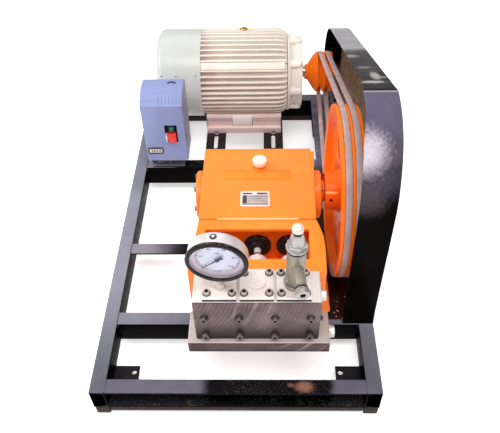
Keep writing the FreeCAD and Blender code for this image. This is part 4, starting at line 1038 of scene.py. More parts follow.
# guard rings and spokes over the air inlet, dark fan behind
for r in range(22, 120, 12):
    p.lathe([(r - 2.2, -296.2), (r - 1.6, -296.8), (r + 1.6, -296.8), (r + 2.2, -296.2), (r + 2.2, -294.6), (r - 2.2, -294.6)],
            AXM, 64, 0, closed=True)
p.lathe([(0, -296.8), (13, -296.8), (14, -296.0), (14, -294.6), (0, -294.6)], AXM, 32, 0)
for k in range(8):
    R = AXM @ Matrix.Rotation(math.pi / 4 * k, 4, "Z")
    p.slab(10, 119, -2.4, 2.4, -296.0, -294.2, 0.5, 0, R, 1)
p.lathe([(0, -256), (30, -256), (34, -252), (34, -190), (0, -190)], AXM, 40, 1)
p.lathe([(0, -196), (146, -196), (146, -192), (0, -192)], AXM, 64, 1)
for k in range(9):
    R = AXM @ Matrix.Rotation(2 * math.pi * k / 9, 4, "Z") @ Matrix.Rotation(math.radians(18), 4, "X")
    p.slab(30, 112, -1.6, 1.6, -256, -205, 0.6, 1, R, 1)
for x, deg in ((-275.0, 29.0), (-226.0, 29.0), (-158.0, 150.0), (-158.0, -150.0), (-158.0, -20.3), (-158.0, 29.0)):
    q = math.radians(deg)
    d = Vector((0, -math.cos(q), math.sin(q)))
    pos = Vector((x, MY, MZ)) + d * (154.6 if x > -270 else 154.2)
    if x < -200:
        p.panhead(pos, d, 4.6, 1.6, 2, True, 1)
    else:
        p.panhead(pos, d, 5.2, 1.3, 2, True, 1)
p.done("skid", ["motor_fan_cowl"], 40)

p = Piece("motor_end_casting", [M["cream"], M["screw"], M["dark"]])
prof = [(30, 160.3), (136, 160.3), (136, 165), (133.5, 168), (126, 170), (120, 176), (119, 186), (120, 192), (123.9, 195),
        (123.9, 209.5), (122.5, 211.8), (113, 211.8), (110, 208), (96, 200), (62, 198), (57, 203), (56, 210), (54, 211.8),
        (30, 211.8)]
p.lathe(prof, AXM, 112, 0, closed=True)
for k in range(8):
    a = math.radians(22.5 + 45 * k)
    R = AXM @ Matrix.Rotation(a, 4, "Z")
    p.slab(56, 116, -4, 4, 198, 208.5, 1.2, 0, R, 2)
for k in range(8):
    a = math.radians(45 * k)
    R = AXM @ Matrix.Rotation(a, 4, "Z")
    pts = fillet([(112, -13), (133, -13), (133, 13), (112, 13)], [0, 9, 9, 0], 4)
    p.solid(pts, 168, 206, "XY", 1.5, 2, 0, R)
    pos = R @ Vector((124.5, 0, 205.6))
    p.hexhead(pos, (1, 0, 0), 13.0, 5.6, 1)
for k in range(4):
    a = math.radians(45 + 90 * k)
    pos = AXM @ Vector((44 * math.cos(a), 44 * math.sin(a), 206.5))
    p.hexhead(pos, (1, 0, 0), 10, 5.0, 1)
p.lathe([(23.5, 200), (52, 200), (52, 205.5), (50, 207), (34, 207), (33, 210.5), (31.5, 211.8), (23.5, 211.8)], AXM, 64, 0, closed=True)
p.done("skid", ["motor_end_shield"], 40)

p = Piece("motor_foot_castings", [M["foot"], M["plate"], M["dark"], M["screw"], M["foot_pad"]])


def foot_outline(sign):
    base = [(1036, 10), (1036, 34), (1047, 37), (1050, 66), (1046, 68), (1048, 79), (1108, 79), (1112, 60), (1104, 30),
            (1104, 10)]
    pts = base if sign > 0 else [(2382 - y, z) for y, z in base]
    return fillet(pts, [1.5, 3, 3, 2.5, 2, 2, 2, 6, 6, 1], 3)


for sign in (1, -1):
    p.solid(foot_outline(sign), -131.8, 138.8, "YZ", 3.0, 3, 0)


def fy(y, sign):
    return y if sign > 0 else 2382 - y


for sign in (1, -1):
    # raised middle pad and the shallow frames of the two end panels
    for x0, x1, z0, z1, t in ((-38.0, 34.0, 37.0, 79.6, 3.2), (-126.0, -44.0, 42.0, 63.0, 1.0), (42.0, 134.0, 42.0, 63.0, 1.0)):
        y_low, y_high = 1047.2, 1050.2
        y0 = min(fy(y_low - t, sign), fy(y_high + 4, sign))
        y1 = max(fy(y_low - t, sign), fy(y_high + 4, sign))
        if t > 2:
            p.slab(x0, x1, y0, y1, z0, z1, 1.4, 4)
            p.slab(x0 - 1.6, x1 + 1.6, min(fy(y_low - 0.4, sign), fy(y_high + 4, sign)), max(fy(y_low - 0.4, sign), fy(y_high + 4, sign)),
                   z0 - 1.8, z1 - 2.0, 0.3, 2, None, 1)
        else:
            for a0, a1, b0, b1 in ((x0, x1, z1 - 2, z1), (x0, x1, z0, z0 + 2)):
                p.slab(a0, a1, min(fy(1047.6 - 0.9, sign), fy(1052, sign)), max(fy(1047.6 - 0.9, sign), fy(1052, sign)),
                       b0, b1, 0.5, 0, None, 1)
p.done("skid", ["motor_feet"], 40)

refine("motor_terminal_box", M["cream"], bevel=1.6, limit=50)
p = Piece("terminal_box_lid", [M["cream"], M["screw"], M["dark"], M["nylon"]])
p.slab(-112, 4, 1368, 1384.4, 126.2, 227.8, 2.0, 0)
for x in (-104, -4):
    for z in (134, 220):
        p.panhead((x, 1384.0, z), (0, 1, 0), 4.0, 0.4, 1, False)
p.slab(-86, -22, 1383.9, 1384.48, 158, 196, 0.2, 1, None, 1)
p.done("skid")
refine("motor_shaft", M["shaft"], "motor_drive", bevel=1.2)

# belt pulley on the motor: cone hub, grooved rim
p = Piece("motor_pulley_casting", [M["pulley"], M["bolt"], M["rim"], M["dark"]])
RX = 262.0
GX = (RX + 17.25, RX + 42.75)


def rim_profile(radius, inner_x, width=60.0, depth=12.8):
    out = [(radius - 1.2, inner_x), (radius, inner_x + 1.0)]
    for gx in GX:
        out += [(radius, gx - 9.3), (radius - 1.0, gx - 8.6), (radius - depth, gx - 4.7), (radius - depth - 0.7, gx - 4.1),
                (radius - depth - 0.7, gx + 4.1), (radius - depth, gx + 4.7), (radius - 1.0, gx + 8.6), (radius, gx + 9.3)]
    out += [(radius, inner_x + width - 1.0), (radius - 1.2, inner_x + width)]
    return out


prof = [(21.3, 225.3), (26.0, 225.3), (27.0, 226.5), (27.6, 233.5), (30, 236.5), (60.5, 254.5), (62.5, 257.5), (63.5, 261.9)]
prof += rim_profile(70.9, RX)
prof += [(60, 322.0), (58, 319.0), (46, 315.0), (44, 321.5), (42, 322.0), (21.3, 322.0)]
p.lathe(prof, AXM, 96, 0, closed=True)
pos = AXM @ (Matrix.Rotation(math.radians(60), 4, "Z") @ Vector((28.0, 0, 229.5)))
p.panhead(pos, pos - Vector((229.5, MY, MZ)), 2.6, 0.8, 1, False)
p.done("motor_drive", ["motor_pulley"], 36)

# ---------------------------------------------------------------------------
# Pump, power end
# ---------------------------------------------------------------------------
PX = 58.5
PY, PZ = 478.0, 252.0
p = Piece("crankcase_casting", [M["orange"], M["screw"], M["dark"], M["bolt"]])
outline = fillet([(285.3, 100.0), (575, 100), (588, 130), (588, 250), (578, 300), (551, 345), (285.3, 345)],
                 [2, 12, 20, 20, 20, 16, 4.0], 6)
p.solid(outline, PX - 144.5, PX + 144.5, "YZ", 4.0, 4, 0)
# the lid stands out over the right wall, more towards the rear
p.solid([(199.0, 290.0), (203.3, 290.0), (204.5, 330.0), (205.5, 384.0), (208.0, 460.0), (210.0, 500.0), (211.9, 537.9),
         (199.0, 537.9)], 329.1, 344.9, "XY", 2.0, 3, 0)
# raised frame where a cast name would stand, left bare
p.slab(-30, 146, 424, 462, 344.0, 345.9, 0.8, 0)
p.slab(-26, 142, 428, 458, 345.2, 346.6, 0.6, 0)
# flanges along the bottom
for x0, x1 in ((PX - 160, PX - 140), (PX + 140, PX + 160)):
    p.slab(x0, x1, 292, 500, 100.0, 114.0, 3.0, 0)
for x in (PX - 152, PX + 152):
    for y in (300, 470):
        p.hexhead((x, y, 114.0), (0, 0, 1), 17, 9, 3, 11.5)
# rear cover with its screws, drain plug
p.slab(PX - 116, PX + 116, 586.5, 594, 126, 262, 2.0, 0, None, 2)
for x in (PX - 106, PX, PX + 106):
    for z in (136, 252):
        p.hexhead((x, 594.0, z), (0, 1, 0), 13, 6, 3)
p.hexhead((PX, 594.0, 160), (0, 1, 0), 24, 10, 1)
p.lathe([(0, 0), (19, 0), (19, 3), (17, 4), (0, 4)], frame_of((PX, 594.0, 205), (0, 1, 0)), 36, 1)
p.done("skid", ["crankcase"], 35)

def in_well(n, c):
    """Faces inside the window of the cradle take the deeper orange: painted shade of the well."""
    inside_x = abs(c.x * 1000.0 - PX) < 126.8
    inside_y = 173.4 < c.y * 1000.0 + FRONT < 285.4
    return 1 if inside_x and inside_y and c.z * 1000.0 - TOP > 195.0 and n.z < 0.6 or \
        (inside_x and inside_y and abs(c.z * 1000.0 - TOP - 196.0) < 1.5) else 0


refine("crosshead_cradle", [M["orange"], M["window"]], bevel=2.2, seg=3, limit=32, choose=in_well)
# back wall and floor of the well, in the painted-shade orange
p = Piece("cradle_well_back", [M["window"]])
p.slab(PX - 125.8, PX + 125.8, 283.8, 285.5, 196.2, 324.6, 0.4, 0, None, 1)
p.slab(PX - 125.8, PX + 125.8, 174.2, 285.0, 195.4, 196.8, 0.3, 0, None, 1)
p.done("skid")
# seam of filler where the cradle's sloping top meets the crankcase; its pale colour is a painted highlight along the
# bead
p = Piece("cradle_seam_bead", [M["seam"]])
p.bead((PX - 98, 285.0, 342.0), (PX + 104, 285.0, 342.0), 3.0, 7.0, 0, 0.8)
p.done("skid")

# bearing covers with their bolts
AXP = along_x(0, PY, PZ)
refine("bearing_covers", M["orange"], bevel=2.0, seg=3, limit=40)
p = Piece("bearing_cover_bolts", [M["bolt"]])
AXC = along_x(0, PY - 7.0, PZ - 6.0)
for k in range(6):
    a = 2 * math.pi * (k + 0.5) / 6
    pos = AXC @ Vector((53 * math.cos(a), 53 * math.sin(a), -106.8))
    p.hexhead(pos, (-1, 0, 0), 12.5, 5.5, 0)
    pos = AXC @ Vector((53 * math.cos(a), 53 * math.sin(a), 229.0))
    p.hexhead(pos, (1, 0, 0), 12.5, 3.8, 0)
p.done("skid")

p = Piece("oil_cap_moulding", [M["cap"], M["orange"]])
MC = frame_of((PX + 6, 478, 345), (0, 0, 1))
p.lathe([(0, 0), (16, 0), (15, 3), (13.2, 4), (13.2, 8), (0, 8)], MC, 40, 1)
ring = []
prof = [(13.4, 7.8), (18.2, 8.0), (19, 9.2), (19, 20.5), (18.0, 22.8), (15.0, 23.9), (9.0, 23.4), (8.2, 23.0), (0, 22.9)]
verts, faces = [], []
seg = 72
for j, (r, z) in enumerate(prof[:-1]):
    for k in range(seg):
        a = 2 * math.pi * k / seg
        rr = r - (0.7 if (k % 4 in (2, 3) and 1 <= j <= 4) else 0.0)
        verts.append((rr * math.cos(a), rr * math.sin(a), z))
verts.append((0, 0, prof[-1][1]))
for j in range(len(prof) - 2):
    for k in range(seg):
        k2 = (k + 1) % seg
        faces.append((j * seg + k, j * seg + k2, (j + 1) * seg + k2, (j + 1) * seg + k))
last = (len(prof) - 2) * seg
for k in range(seg):
    faces.append((last + k, last + (k + 1) % seg, len(verts) - 1))
faces.append(tuple(reversed(range(seg))))
p.add(verts, faces, 0, MC)
p.slab(-1.6, 1.6, -9, 9, 22.0, 23.9, 0.6, 0, MC, 1)
p.done("skid", ["oil_filler_cap"], 40)

# name plate, with plain blank fields
p = Piece("crankcase_name_plate", [M["plate"], M["plate_ink"], M["screw"], M["plate_mid"]])
p.slab(16, 90, 326, 380, 345.0, 346.2, 0.5, 0, None, 3, 4.0)
p.slab(19.8, 86.2, 330.6, 366.4, 345.9, 346.28, 0.1, 3, None, 1)
p.slab(22, 46, 368.5, 374.0, 346.0, 346.45, 0.1, 1, None, 1)
p.slab(58, 84, 368.5, 374.0, 346.0, 346.45, 0.1, 1, None, 1)
p.slab(22, 32, 336, 364, 346.0, 346.4, 0.1, 1, None, 1)
for y in (360.0, 352.0, 344.0):
    p.slab(36, 84, y - 0.6, y + 0.6, 346.0, 346.4, 0.1, 1, None, 1)
p.slab(24, 84, 332.0, 334.6, 346.0, 346.4, 0.1, 1, None, 1)
for x in (19.5, 86.5):
    for y in (329.5, 376.5):
        p.panhead((x, y, 346.1), (0, 0, 1), 1.5, 0.5, 2, False)
p.done("skid")

# seals, glands and the round seats on the crankcase wall
p = Piece("plunger_seal_discs", [M["rubber"], M["silver"], M["bright"], M["bolt"]])
for i in (-1, 0, 1):
    Mg = frame_of((PX + 83 * i, 0, PZ), (0, 1, 0), (0, 0, 1))
    p.lathe([(11.2, 270.2), (30, 270.2), (33.5, 271.4), (34.5, 273.5), (34.5, 284.8), (11.2, 284.8)], Mg, 64, 0, closed=True)
    p.lathe([(11, 262.5), (19, 262.5), (22, 264), (23, 270.4), (11, 270.4)], Mg, 48, 0, closed=True)
    p.lathe([(10.6, 174.4), (28.6, 174.4), (29, 175), (29, 206), (28, 207.8), (24.3, 208), (24, 209), (24, 228.5), (22.8, 229.8),
             (10.6, 229.8)], Mg, 64, 1, closed=True)
    for k in range(6):
        a = math.pi / 3 * k + 0.2
        R = Mg @ Matrix.Rotation(a, 4, "Z")
        p.slab(27.6, 29.4, -3.2, 3.2, 188, 198, 0.4, 3, R, 1)
p.done("skid", ["plunger_seals"], 38)
for i, name in ((-1, "plunger_left"), (0, "plunger_middle"), (1, "plunger_right")):
    p = Piece(name + "_rod", [M["silver"], M["rubber"]])
    Mg = frame_of((PX + 83 * i, 0, PZ), (0, 1, 0), (0, 0, 1))
    p.lathe([(0, 150.2), (8.2, 150.2), (9, 151), (9, 304), (8.2, 304.8), (0, 304.8)], Mg, 40, 0)
    p.lathe([(8.8, 244.2), (9.7, 244.2), (10.1, 244.8), (10.1, 247.2), (9.7, 247.8), (8.8, 247.8)], Mg, 40, 1, closed=True)
    p.done({-1: "plunger_one", 0: "plunger_two", 1: "plunger_three"}[i], [name], 38)

# ---------------------------------------------------------------------------
# Fluid end
# ---------------------------------------------------------------------------
# front faces of the block and manifold take the darker milled-front colours: painted shade
refine("fluid_block", [M["block"], M["block_front"]], bevel=0.5, limit=35,
       choose=lambda n, c: 1 if n.y < -0.5 else 0)
refine("suction_manifold", [M["manifold_top"], M["manifold_front"]], bevel=0.5, limit=35,
       choose=lambda n, c: 1 if n.y < -0.8 else 0)
p = Piece("valve_cover_plates", [M["block"], M["bolt"], M["dark"]])
for i in (-1, 0, 1):
    cx = PX + 83 * i
    p.slab(cx - 38.5, cx + 38.5, 50.5, 133.5, 325.0, 337.1, 1.0, 0, None, 2)
    p.slab(cx - 37.6, cx + 37.6, 51.2, 132.8, 324.6, 326.2, 0.2, 2, None, 1)
# a dark strip on the lower front of each cover: painted shade under its front edge
for i in (-1, 0, 1):
    cx = PX + 83 * i
    p.slab(cx - 38.0, cx + 38.0, 50.2, 50.9, 325.4, 331.0, 0.2, 2, None, 1)
p.lathe([(0, 337), (21, 337), (21, 338.3), (20.2, 339.1), (0, 339.1)], frame_of((PX, 95, 0), (0, 0, 1)), 64, 0)
p.done("skid", ["valve_covers"], 38)
p = Piece("cover_socket_screws", [M["bolt"], M["dark"], M["bolt_top"]])
# the screws on top take the lighter steel: painted light on their heads
for i in (-1, 0, 1):
    for dx in (-28, 28):
        for y in (64, 121):
            p.lathe([(0, 0), (9.6, 0), (9.6, 0.5), (0, 0.6)], frame_of((PX + 83 * i + dx, y, 337.0), (0, 0, 1)), 28, 1)
            p.sockethead((PX + 83 * i + dx, y, 337.4), (0, 0, 1), 15.6, 8.6, 2, 1, 24, 8.0)
for x in (-62, 18, 100, 181):
    for z in (268, 202):
        p.sockethead((x, 46.0, z), (0, -1, 0), 16.0, 11.0, 0, 1, 24, 8.0)
        p.lathe([(0, 0), (10.0, 0), (10.0, 0.5), (0, 0.6)], frame_of((x, 46.2, z), (0, -1, 0)), 28, 1)
for x in (-92.0, 212.0):
    p.sockethead((x, 104.0, 180.6), (0, 0, 1), 12.0, 7.0, 0, 1, 20, 6.0)
p.done("skid")
p = Piece("port_plug_hexes", [M["zinc_plug"], M["dark"]])
for x0, y0, z0, r in ((203.2, 92.0, 293.0, 14.0), (231.2, 81.0, 161.0, 15.0)):
    Mp = frame_of((x0, y0, z0), (1, 0, 0))
    p.lathe([(0, 0), (r + 1.5, 0), (r + 1.5, 3.4), (r + 0.9, 4.0), (0, 4.0)], Mp, 40, 0)
    p.hexhead((x0 + 3.6, y0, z0), (1, 0, 0), r * 1.72, 10.2, 0)
p.done("skid", ["port_plugs"], 38)

# ---------------------------------------------------------------------------
# Pressure gauge
# ---------------------------------------------------------------------------
FACE = Vector((-0.07823824384963161, -0.9941111445521718, -0.07497872682632738))
GC = Vector((-24.4, 60.0, 443.0))
up_dir = Vector((0, 0, 1))
MG = frame_of(GC, FACE, up_dir)                # local z out of the dial, local x up
p = Piece("gauge_case_shell", [M["gauge_case"], M["plug"], M["plate"], M["screw"]])
p.lathe([(61.5, -7.2), (65.0, -7.2), (65.0, -31.5), (64.3, -34.5), (62, -37.0), (58.5, -38.1), (0.2, -38.1), (0.2, -36.2), (58, -36.2),
         (61.5, -33.0)], MG, 112, 0, closed=True)
p.lathe([(0, -38.0), (6, -38.0), (6, -36.3), (0, -36.3)], MG, 32, 0)
p.lathe([(64.8, -8.2), (65.9, -8.9), (65.9, -11.0), (64.8, -11.8)], MG, 112, 0, closed=True)
# filling plug on top
d_up = (MG.to_3x3() @ Vector((1, 0, 0)))
d_side = (MG.to_3x3() @ Vector((0, 1, 0)))
ang = math.radians(4.5)
dirp = (d_up * math.cos(ang) + d_side * math.sin(ang)).normalized()
pos = GC + dirp * 64.0 - FACE * 23.0
Mq = frame_of(pos, dirp, FACE)
p.lathe([(0, 0), (7.6, 0), (7.8, 1.0), (7.2, 2.0), (5.2, 2.6), (4.6, 2.2), (0, 2.1)], Mq, 32, 1)
p.lathe([(0, 1.8), (3.2, 1.8), (3.0, 3.2), (0, 3.3)], Mq, 20, 2)
p.done("skid", ["gauge_case"], 38)
p = Piece("gauge_bezel_ring", [M["black_gloss"]])
p.lathe([(60.6, -6.1), (60.6, -1.9), (57.6, -1.2), (57.8, -0.4), (60.5, 0.0), (64.8, 0.0), (66.8, -0.9), (67.5, -2.6), (67.5, -6.6),
         (66.8, -7.9), (65.2, -7.9), (65.2, -6.2)], MG, 128, 0, closed=True)
p.done("skid", ["gauge_bezel"], 50)
p = Piece("gauge_dial_plate", [M["dial"], M["dial_ring"], M["ink"]])
p.lathe([(0, -15.8), (61.2, -15.8), (61.2, -14.4), (60.8, -14.0), (49.0, -14.0), (0, -14.0)], MG, 96, 0)
p.lathe([(49.5, -13.98), (60.9, -13.98), (60.9, -12.2), (58.2, -12.2), (49.5, -13.7)], MG, 96, 1, closed=True)
p.lathe([(43.2, -13.98), (43.8, -13.98), (43.8, -13.7), (43.2, -13.7)], MG, 96, 2, closed=True)
p.lathe([(48.2, -13.98), (48.6, -13.98), (48.6, -13.7), (48.2, -13.7)], MG, 96, 2, closed=True)


# dial angle: degrees clockwise from straight up as seen from the front.
# In the gauge frame local x is up and local y is to the right seen from behind
def on_dial(r, deg, h=-13.7):
    q = math.radians(deg)
    return Vector((r * math.cos(q), -r * math.sin(q), h))


RIGHT = MG.to_3x3() @ Vector((0, 1, 0))
SIDE = -1.0 if RIGHT.x > 0 else 1.0


def dial_at(deg):
    """Turn about the dial axis so that local x points to that clock angle."""
    return MG @ Matrix.Rotation(math.radians(deg) * -SIDE, 4, "Z")


START, SPAN, STEPS = -132.0, 264.0, 60
for k in range(STEPS + 1):
    deg = START + SPAN * k / STEPS
    R = dial_at(deg)
    major, half = k % 12 == 0, k % 6 == 0
    length, w = (6.4, 0.75) if major else ((5.0, 0.5) if half else (3.4, 0.28))
    p.slab(48.4 - length, 48.4, -w, w, -13.98, -13.66, 0.02, 2, R, 1)
p.done("skid", ["gauge_dial"], 38)


def lettering(text, size, pos, deg_frame, thick=0.12):
    """Outline letters as mesh data in millimetres, centred."""
    cu = bpy.data.curves.new("dial_text", "FONT")
    cu.body = text
    cu.size = size
    cu.extrude = thick
    cu.align_x = "CENTER"
    cu.align_y = "CENTER"
    cu.resolution_u = 3
    ob = bpy.data.objects.new("dial_text_tmp", cu)
    scene.collection.objects.link(ob)
    dg = bpy.context.evaluated_depsgraph_get()
    me = bpy.data.meshes.new_from_object(ob.evaluated_get(dg))
    bpy.data.objects.remove(ob)
    return me


p = Piece("gauge_dial_numbers", [M["ink"]])
# text frame: local x to the right and local y up, seen from the front
rt = FACE.cross(MG.to_3x3() @ Vector((1, 0, 0))) * -1.0
if rt.x < 0:
    rt = -rt
upv = MG.to_3x3() @ Vector((1, 0, 0))
for k in range(6):
    deg = START + SPAN * k / 5
    q = math.radians(deg)
    c = GC - FACE * 13.75 + rt * (36.0 * math.sin(q)) + upv * (36.0 * math.cos(q))
    MT = Matrix(((rt.x, upv.x, FACE.x, c.x), (rt.y, upv.y, FACE.y, c.y), (rt.z, upv.z, FACE.z, c.z), (0, 0, 0, 1)))
    p.mesh_of(lettering(str(k * 20), 8.2, None, None), 0, MT)
for text, size, dy in (("MPa", 6.8, 19.0), ("0 - 100", 5.0, -44.0)):
    c = GC - FACE * 13.75 + upv * dy
    MT = Matrix(((rt.x, upv.x, FACE.x, c.x), (rt.y, upv.y, FACE.y, c.y), (rt.z, upv.z, FACE.z, c.z), (0, 0, 0, 1)))
    p.mesh_of(lettering(text, size, None, None), 0, MT)
p.done("skid", (), 30)
p = Piece("gauge_lens_disc", [M["glass"]])
p.lathe([(0, -4.0), (60.2, -4.0), (60.2, -2.4), (59.9, -2.1), (0, -2.1)], MG, 96, 0)
p.done("skid", ["gauge_glass"], 38)
p = Piece("gauge_hand_blade", [M["ink"]])
R = dial_at(-132.0)
hand = [(-16, -3.4), (-13, -4.2), (-4, -2.2), (12, -1.5), (46.5, -0.45), (48.0, 0), (46.5, 0.45), (12, 1.5), (-4, 2.2), (-13, 4.2), (-16, 3.4)]
p.solid(hand, -9.8, -8.5, "XY", 0.2, 1, 0, R)
p.lathe([(0, -10.6), (5.0, -10.6), (5.0, -8.4), (4.0, -7.5), (0, -7.4)], MG, 32, 0)
p.done("gauge_hand", ["gauge_pointer"], 38)
p = Piece("gauge_stem_fitting", [M["block"], M["dark"]])
Ms = frame_of((-24.4, 82.0, 337.2), (0, 0, 1))
p.hexhead((-24.4, 82.0, 337.4), (0, 0, 1), 22.4, 16.8, 0)
prof = [(0, 9.0), (9, 9.0)]
for k in range(9):
    prof += [(9.0, 18.5 + k * 1.6), (8.3, 19.3 + k * 1.6)]
prof += [(8.8, 33.5), (8.8, 41.0), (0, 41.0)]
p.lathe(prof, Ms, 36, 0)
p.done("skid", ["gauge_stem"], 38)

# ---------------------------------------------------------------------------
# Relief valve
# ---------------------------------------------------------------------------
VX, VY = 144.5, 94.0
MV = frame_of((VX, VY, 0), (0, 0, 1))
p = Piece("relief_valve_barrel", [M["satin"], M["dark"]])
p.lathe([(0, 337.3), (25.6, 337.3), (26, 337.8), (26, 342.6), (25.2, 343.2), (0, 343.2)], MV, 56, 0)
p.hexhead((VX, VY, 343.0), (0, 0, 1), 43.0, 14.0, 0)
p.lathe([(0, 355.5), (20.6, 356), (21.5, 357), (21.5, 448.4), (20.8, 450.6), (19.2, 451.8), (0, 452)], MV, 72, 0)
p.done("skid", ["relief_valve_body"], 38)
p = Piece("relief_valve_cap", [M["bright"], M["dark"], M["satin"], M["knob"]])
p.lathe([(0, 451.2), (22.6, 451.2), (23.2, 452.0), (23.2, 455.6), (22.4, 456.4), (0, 456.4)], MV, 64, 1)
p.lathe([(0, 456.2), (22.8, 456.2), (23.8, 457.2), (23.8, 461.0), (22.8, 462.2), (0, 462.2)], MV, 64, 0)
p.hexhead((VX, VY, 462.0), (0, 0, 1), 37.0, 13.0, 0, 0.0, math.radians(12))
p.lathe([(0, 474.0), (17.6, 474.6), (18.2, 476.0), (12.4, 498.0), (11.2, 500.4), (0, 500.6)], MV, 64, 0)
p.lathe([(0, 500), (8.6, 500), (8.6, 510), (0, 510)], MV, 40, 1)
p.lathe([(0, 507.6), (10.4, 507.8), (12.2, 509.0), (12.6, 510.6), (12.6, 517.4), (11.4, 520.6), (8.4, 522.8), (4, 523.6), (0, 523.7)], MV, 48, 3)
p.done("skid", ["relief_valve_bonnet"], 38)
p = Piece("relief_outlet_stub", [M["satin"], M["dark"], M["bright"]])
q = math.radians(7.0)
dout = Vector((math.sin(q), -math.cos(q), 0))
MO = frame_of((VX, VY, 407.0), dout, (0, 0, 1))
p.lathe([(0, 14.4), (13.2, 14.4), (13.6, 15), (13.6, 34), (12.6, 35), (12.6, 38), (13.6, 39), (13.6, 60), (12.8, 61.5), (12.8, 70),
         (13.4, 71), (13.4, 74), (0, 74)], MO, 56, 0)
p.lathe([(6.1, 60), (6.1, 89), (7.0, 89.9), (13.6, 89.9), (15.0, 88.4), (15.0, 75.6), (14.2, 74.2), (7, 74.2), (7, 60)], MO, 56, 2, closed=True)
p.lathe([(12.6, 69.6), (14.1, 69.8), (14.1, 75.4), (12.6, 75.6)], MO, 48, 1, closed=True)
p.lathe([(0, 61.5), (6.3, 61.5), (6.3, 63.0), (0, 63.0)], MO, 24, 1)
p.lathe([(6.05, 62), (6.6, 62), (6.6, 88.0), (6.05, 88.0)], MO, 40, 1, closed=True)
p.done("skid", ["relief_outlet"], 38)

# ---------------------------------------------------------------------------
# Belt drive
# ---------------------------------------------------------------------------
p = Piece("pump_pulley_casting", [M["pulley"], M["rim"], M["bolt"], M["dark"]])
outer = [(235.6, RX)] + rim_profile(236.9, RX)[1:-1] + [(235.6, RX + 60.0)]
inner = [(216.0, 322.0), (213.0, 319.5), (206.5, 303.0), (203.0, 300.4), (199.0, 300.0), (199.0, 285.9), (203.0, 285.4),
         (206.0, 282.5), (212.6, 264.4), (216.0, 262.0)]
p.lathe(outer + inner, AXP, 160, 0, closed=True)
p.lathe([(218.0, 262.4), (233.6, 262.4), (235.2, 261.99), (236.6, 262.8), (236.6, 266.4), (218, 266.4)], AXP, 160, 1, closed=True)
p.done("pump_drive", ["pump_pulley_rim"], 34)

# dished web with four windows
p = Piece("pump_pulley_disc", [M["pulley"], M["rim"], M["bolt"]])


def web_plate(piece, r_in, r_out, z_front, z_back, hole_r, hole_c, count, phase, slot):
    """Disc between two radii with round windows, built sector by sector."""
    sect = 2 * math.pi / count
    half = sect / 2
    na, nh = 20, 40
    for c in range(count):
        mid = phase + sect * c
        ring_h = [(hole_c + hole_r * math.cos(2 * math.pi * k / nh), hole_r * math.sin(2 * math.pi * k / nh)) for k in range(nh)]
        # matching points on the border of the sector, at the same turn round the window
        border = []
        for k in range(nh):
            a = 2 * math.pi * k / nh
            dx, dy = math.cos(a), math.sin(a)
            lo, hi = hole_r, 400.0
            for _ in range(40):
                s = (lo + hi) / 2
                x, y = hole_c + dx * s, dy * s
                r, t = math.hypot(x, y), math.atan2(y, x)
                if r_in < r < r_out and abs(t) < half:
                    lo = s
                else:
                    hi = s
            border.append((hole_c + dx * lo, dy * lo))
        corners = [(r_out, half), (r_in, half), (r_in, -half), (r_out, -half)]
        for r, t in corners:
            x, y = r * math.cos(t), r * math.sin(t)
            best = min(range(nh), key=lambda i: (border[i][0] - x) ** 2 + (border[i][1] - y) ** 2)
            border[best] = (x, y)
        verts, faces = [], []
        rot = Matrix.Rotation(mid, 4, "Z")
        steps = 5
        rings = []
        for face in (0, 1):
            for s in range(steps + 1):
                t = s / steps
                ring = []
                for k in range(nh):
                    x = ring_h[k][0] * (1 - t) + border[k][0] * t
                    y = ring_h[k][1] * (1 - t) + border[k][1] * t
                    r = math.hypot(x, y)
                    z = z_front(r) if face == 0 else z_back(r)
                    if s == 0:
                        z += 1.2 if face == 0 else -1.2
                    ring.append(len(verts))
                    verts.append(rot @ Vector((x, y, z)))
                rings.append(ring)
            for s in range(steps):
                a, b = rings[-steps - 1 + s], rings[-steps + s]
                for k in range(nh):
                    k2 = (k + 1) % nh
                    faces.append((a[k], a[k2], b[k2], b[k]))
        a, b = rings[0], rings[steps + 1]
        for k in range(nh):
            k2 = (k + 1) % nh
            faces.append((a[k], a[k2], b[k2], b[k]))
        a, b = rings[steps], rings[2 * steps + 1]
        for k in range(nh):
            k2 = (k + 1) % nh
            faces.append((a[k], a[k2], b[k2], b[k]))
        piece.add(verts, faces, slot, AXP)


web_plate(p, 58.5, 201.5, lambda r: 282.2 + 3.6 * (r - 60) / 140.0, lambda r: 298.0 + 1.8 * (r - 60) / 140.0,
          44.0, 128.0, 4, math.radians(45), 0)
p.done("pump_drive", ["pump_pulley_web"], 34)
p = Piece("pump_pulley_boss", [M["pulley"], M["bolt"], M["dark"], M["rim"]])
p.lathe([(22.3, 240.2), (49.8, 240.2), (51.4, 241.4), (52.0, 243.5), (53.0, 268), (56, 277), (64, 283.4), (64, 296.5), (60, 301), (58, 311),
         (54, 318), (22.3, 318)], AXP, 96, 0, closed=True)
# two set screws in the boss and the key in its bore
for deg in (75.0, 195.0):
    R = AXP @ Matrix.Rotation(math.radians(deg), 4, "Z")
    pos = R @ Vector((52.2, 0, 256.0))
    dirv = R.to_3x3() @ Vector((1, 0, 0))
    p.lathe([(4.2, 0), (6.6, 0), (6.8, 0.8), (4.6, 1.1)], frame_of(pos, dirv), 24, 0, closed=True)
    p.lathe([(0, 0), (4.4, 0), (4.4, 0.6), (0, 0.6)], frame_of(pos, dirv), 20, 2)
R = AXP @ Matrix.Rotation(math.radians(30), 4, "Z")
p.slab(20, 26.5, -6, 6, 240.6, 317.6, 0.4, 1, R, 1)
p.done("pump_drive", ["pump_pulley_hub"], 34)
refine("pump_shaft", M["shaft"], "pump_drive", bevel=1.2)
p = Piece("pump_shaft_collar", [M["pulley"]])
p.lathe([(22.2, 230.6), (29.2, 230.6), (30.0, 231.4), (30.0, 239.4), (22.2, 239.4)], AXP, 56, 0, closed=True)
p.done("pump_drive", (), 38)
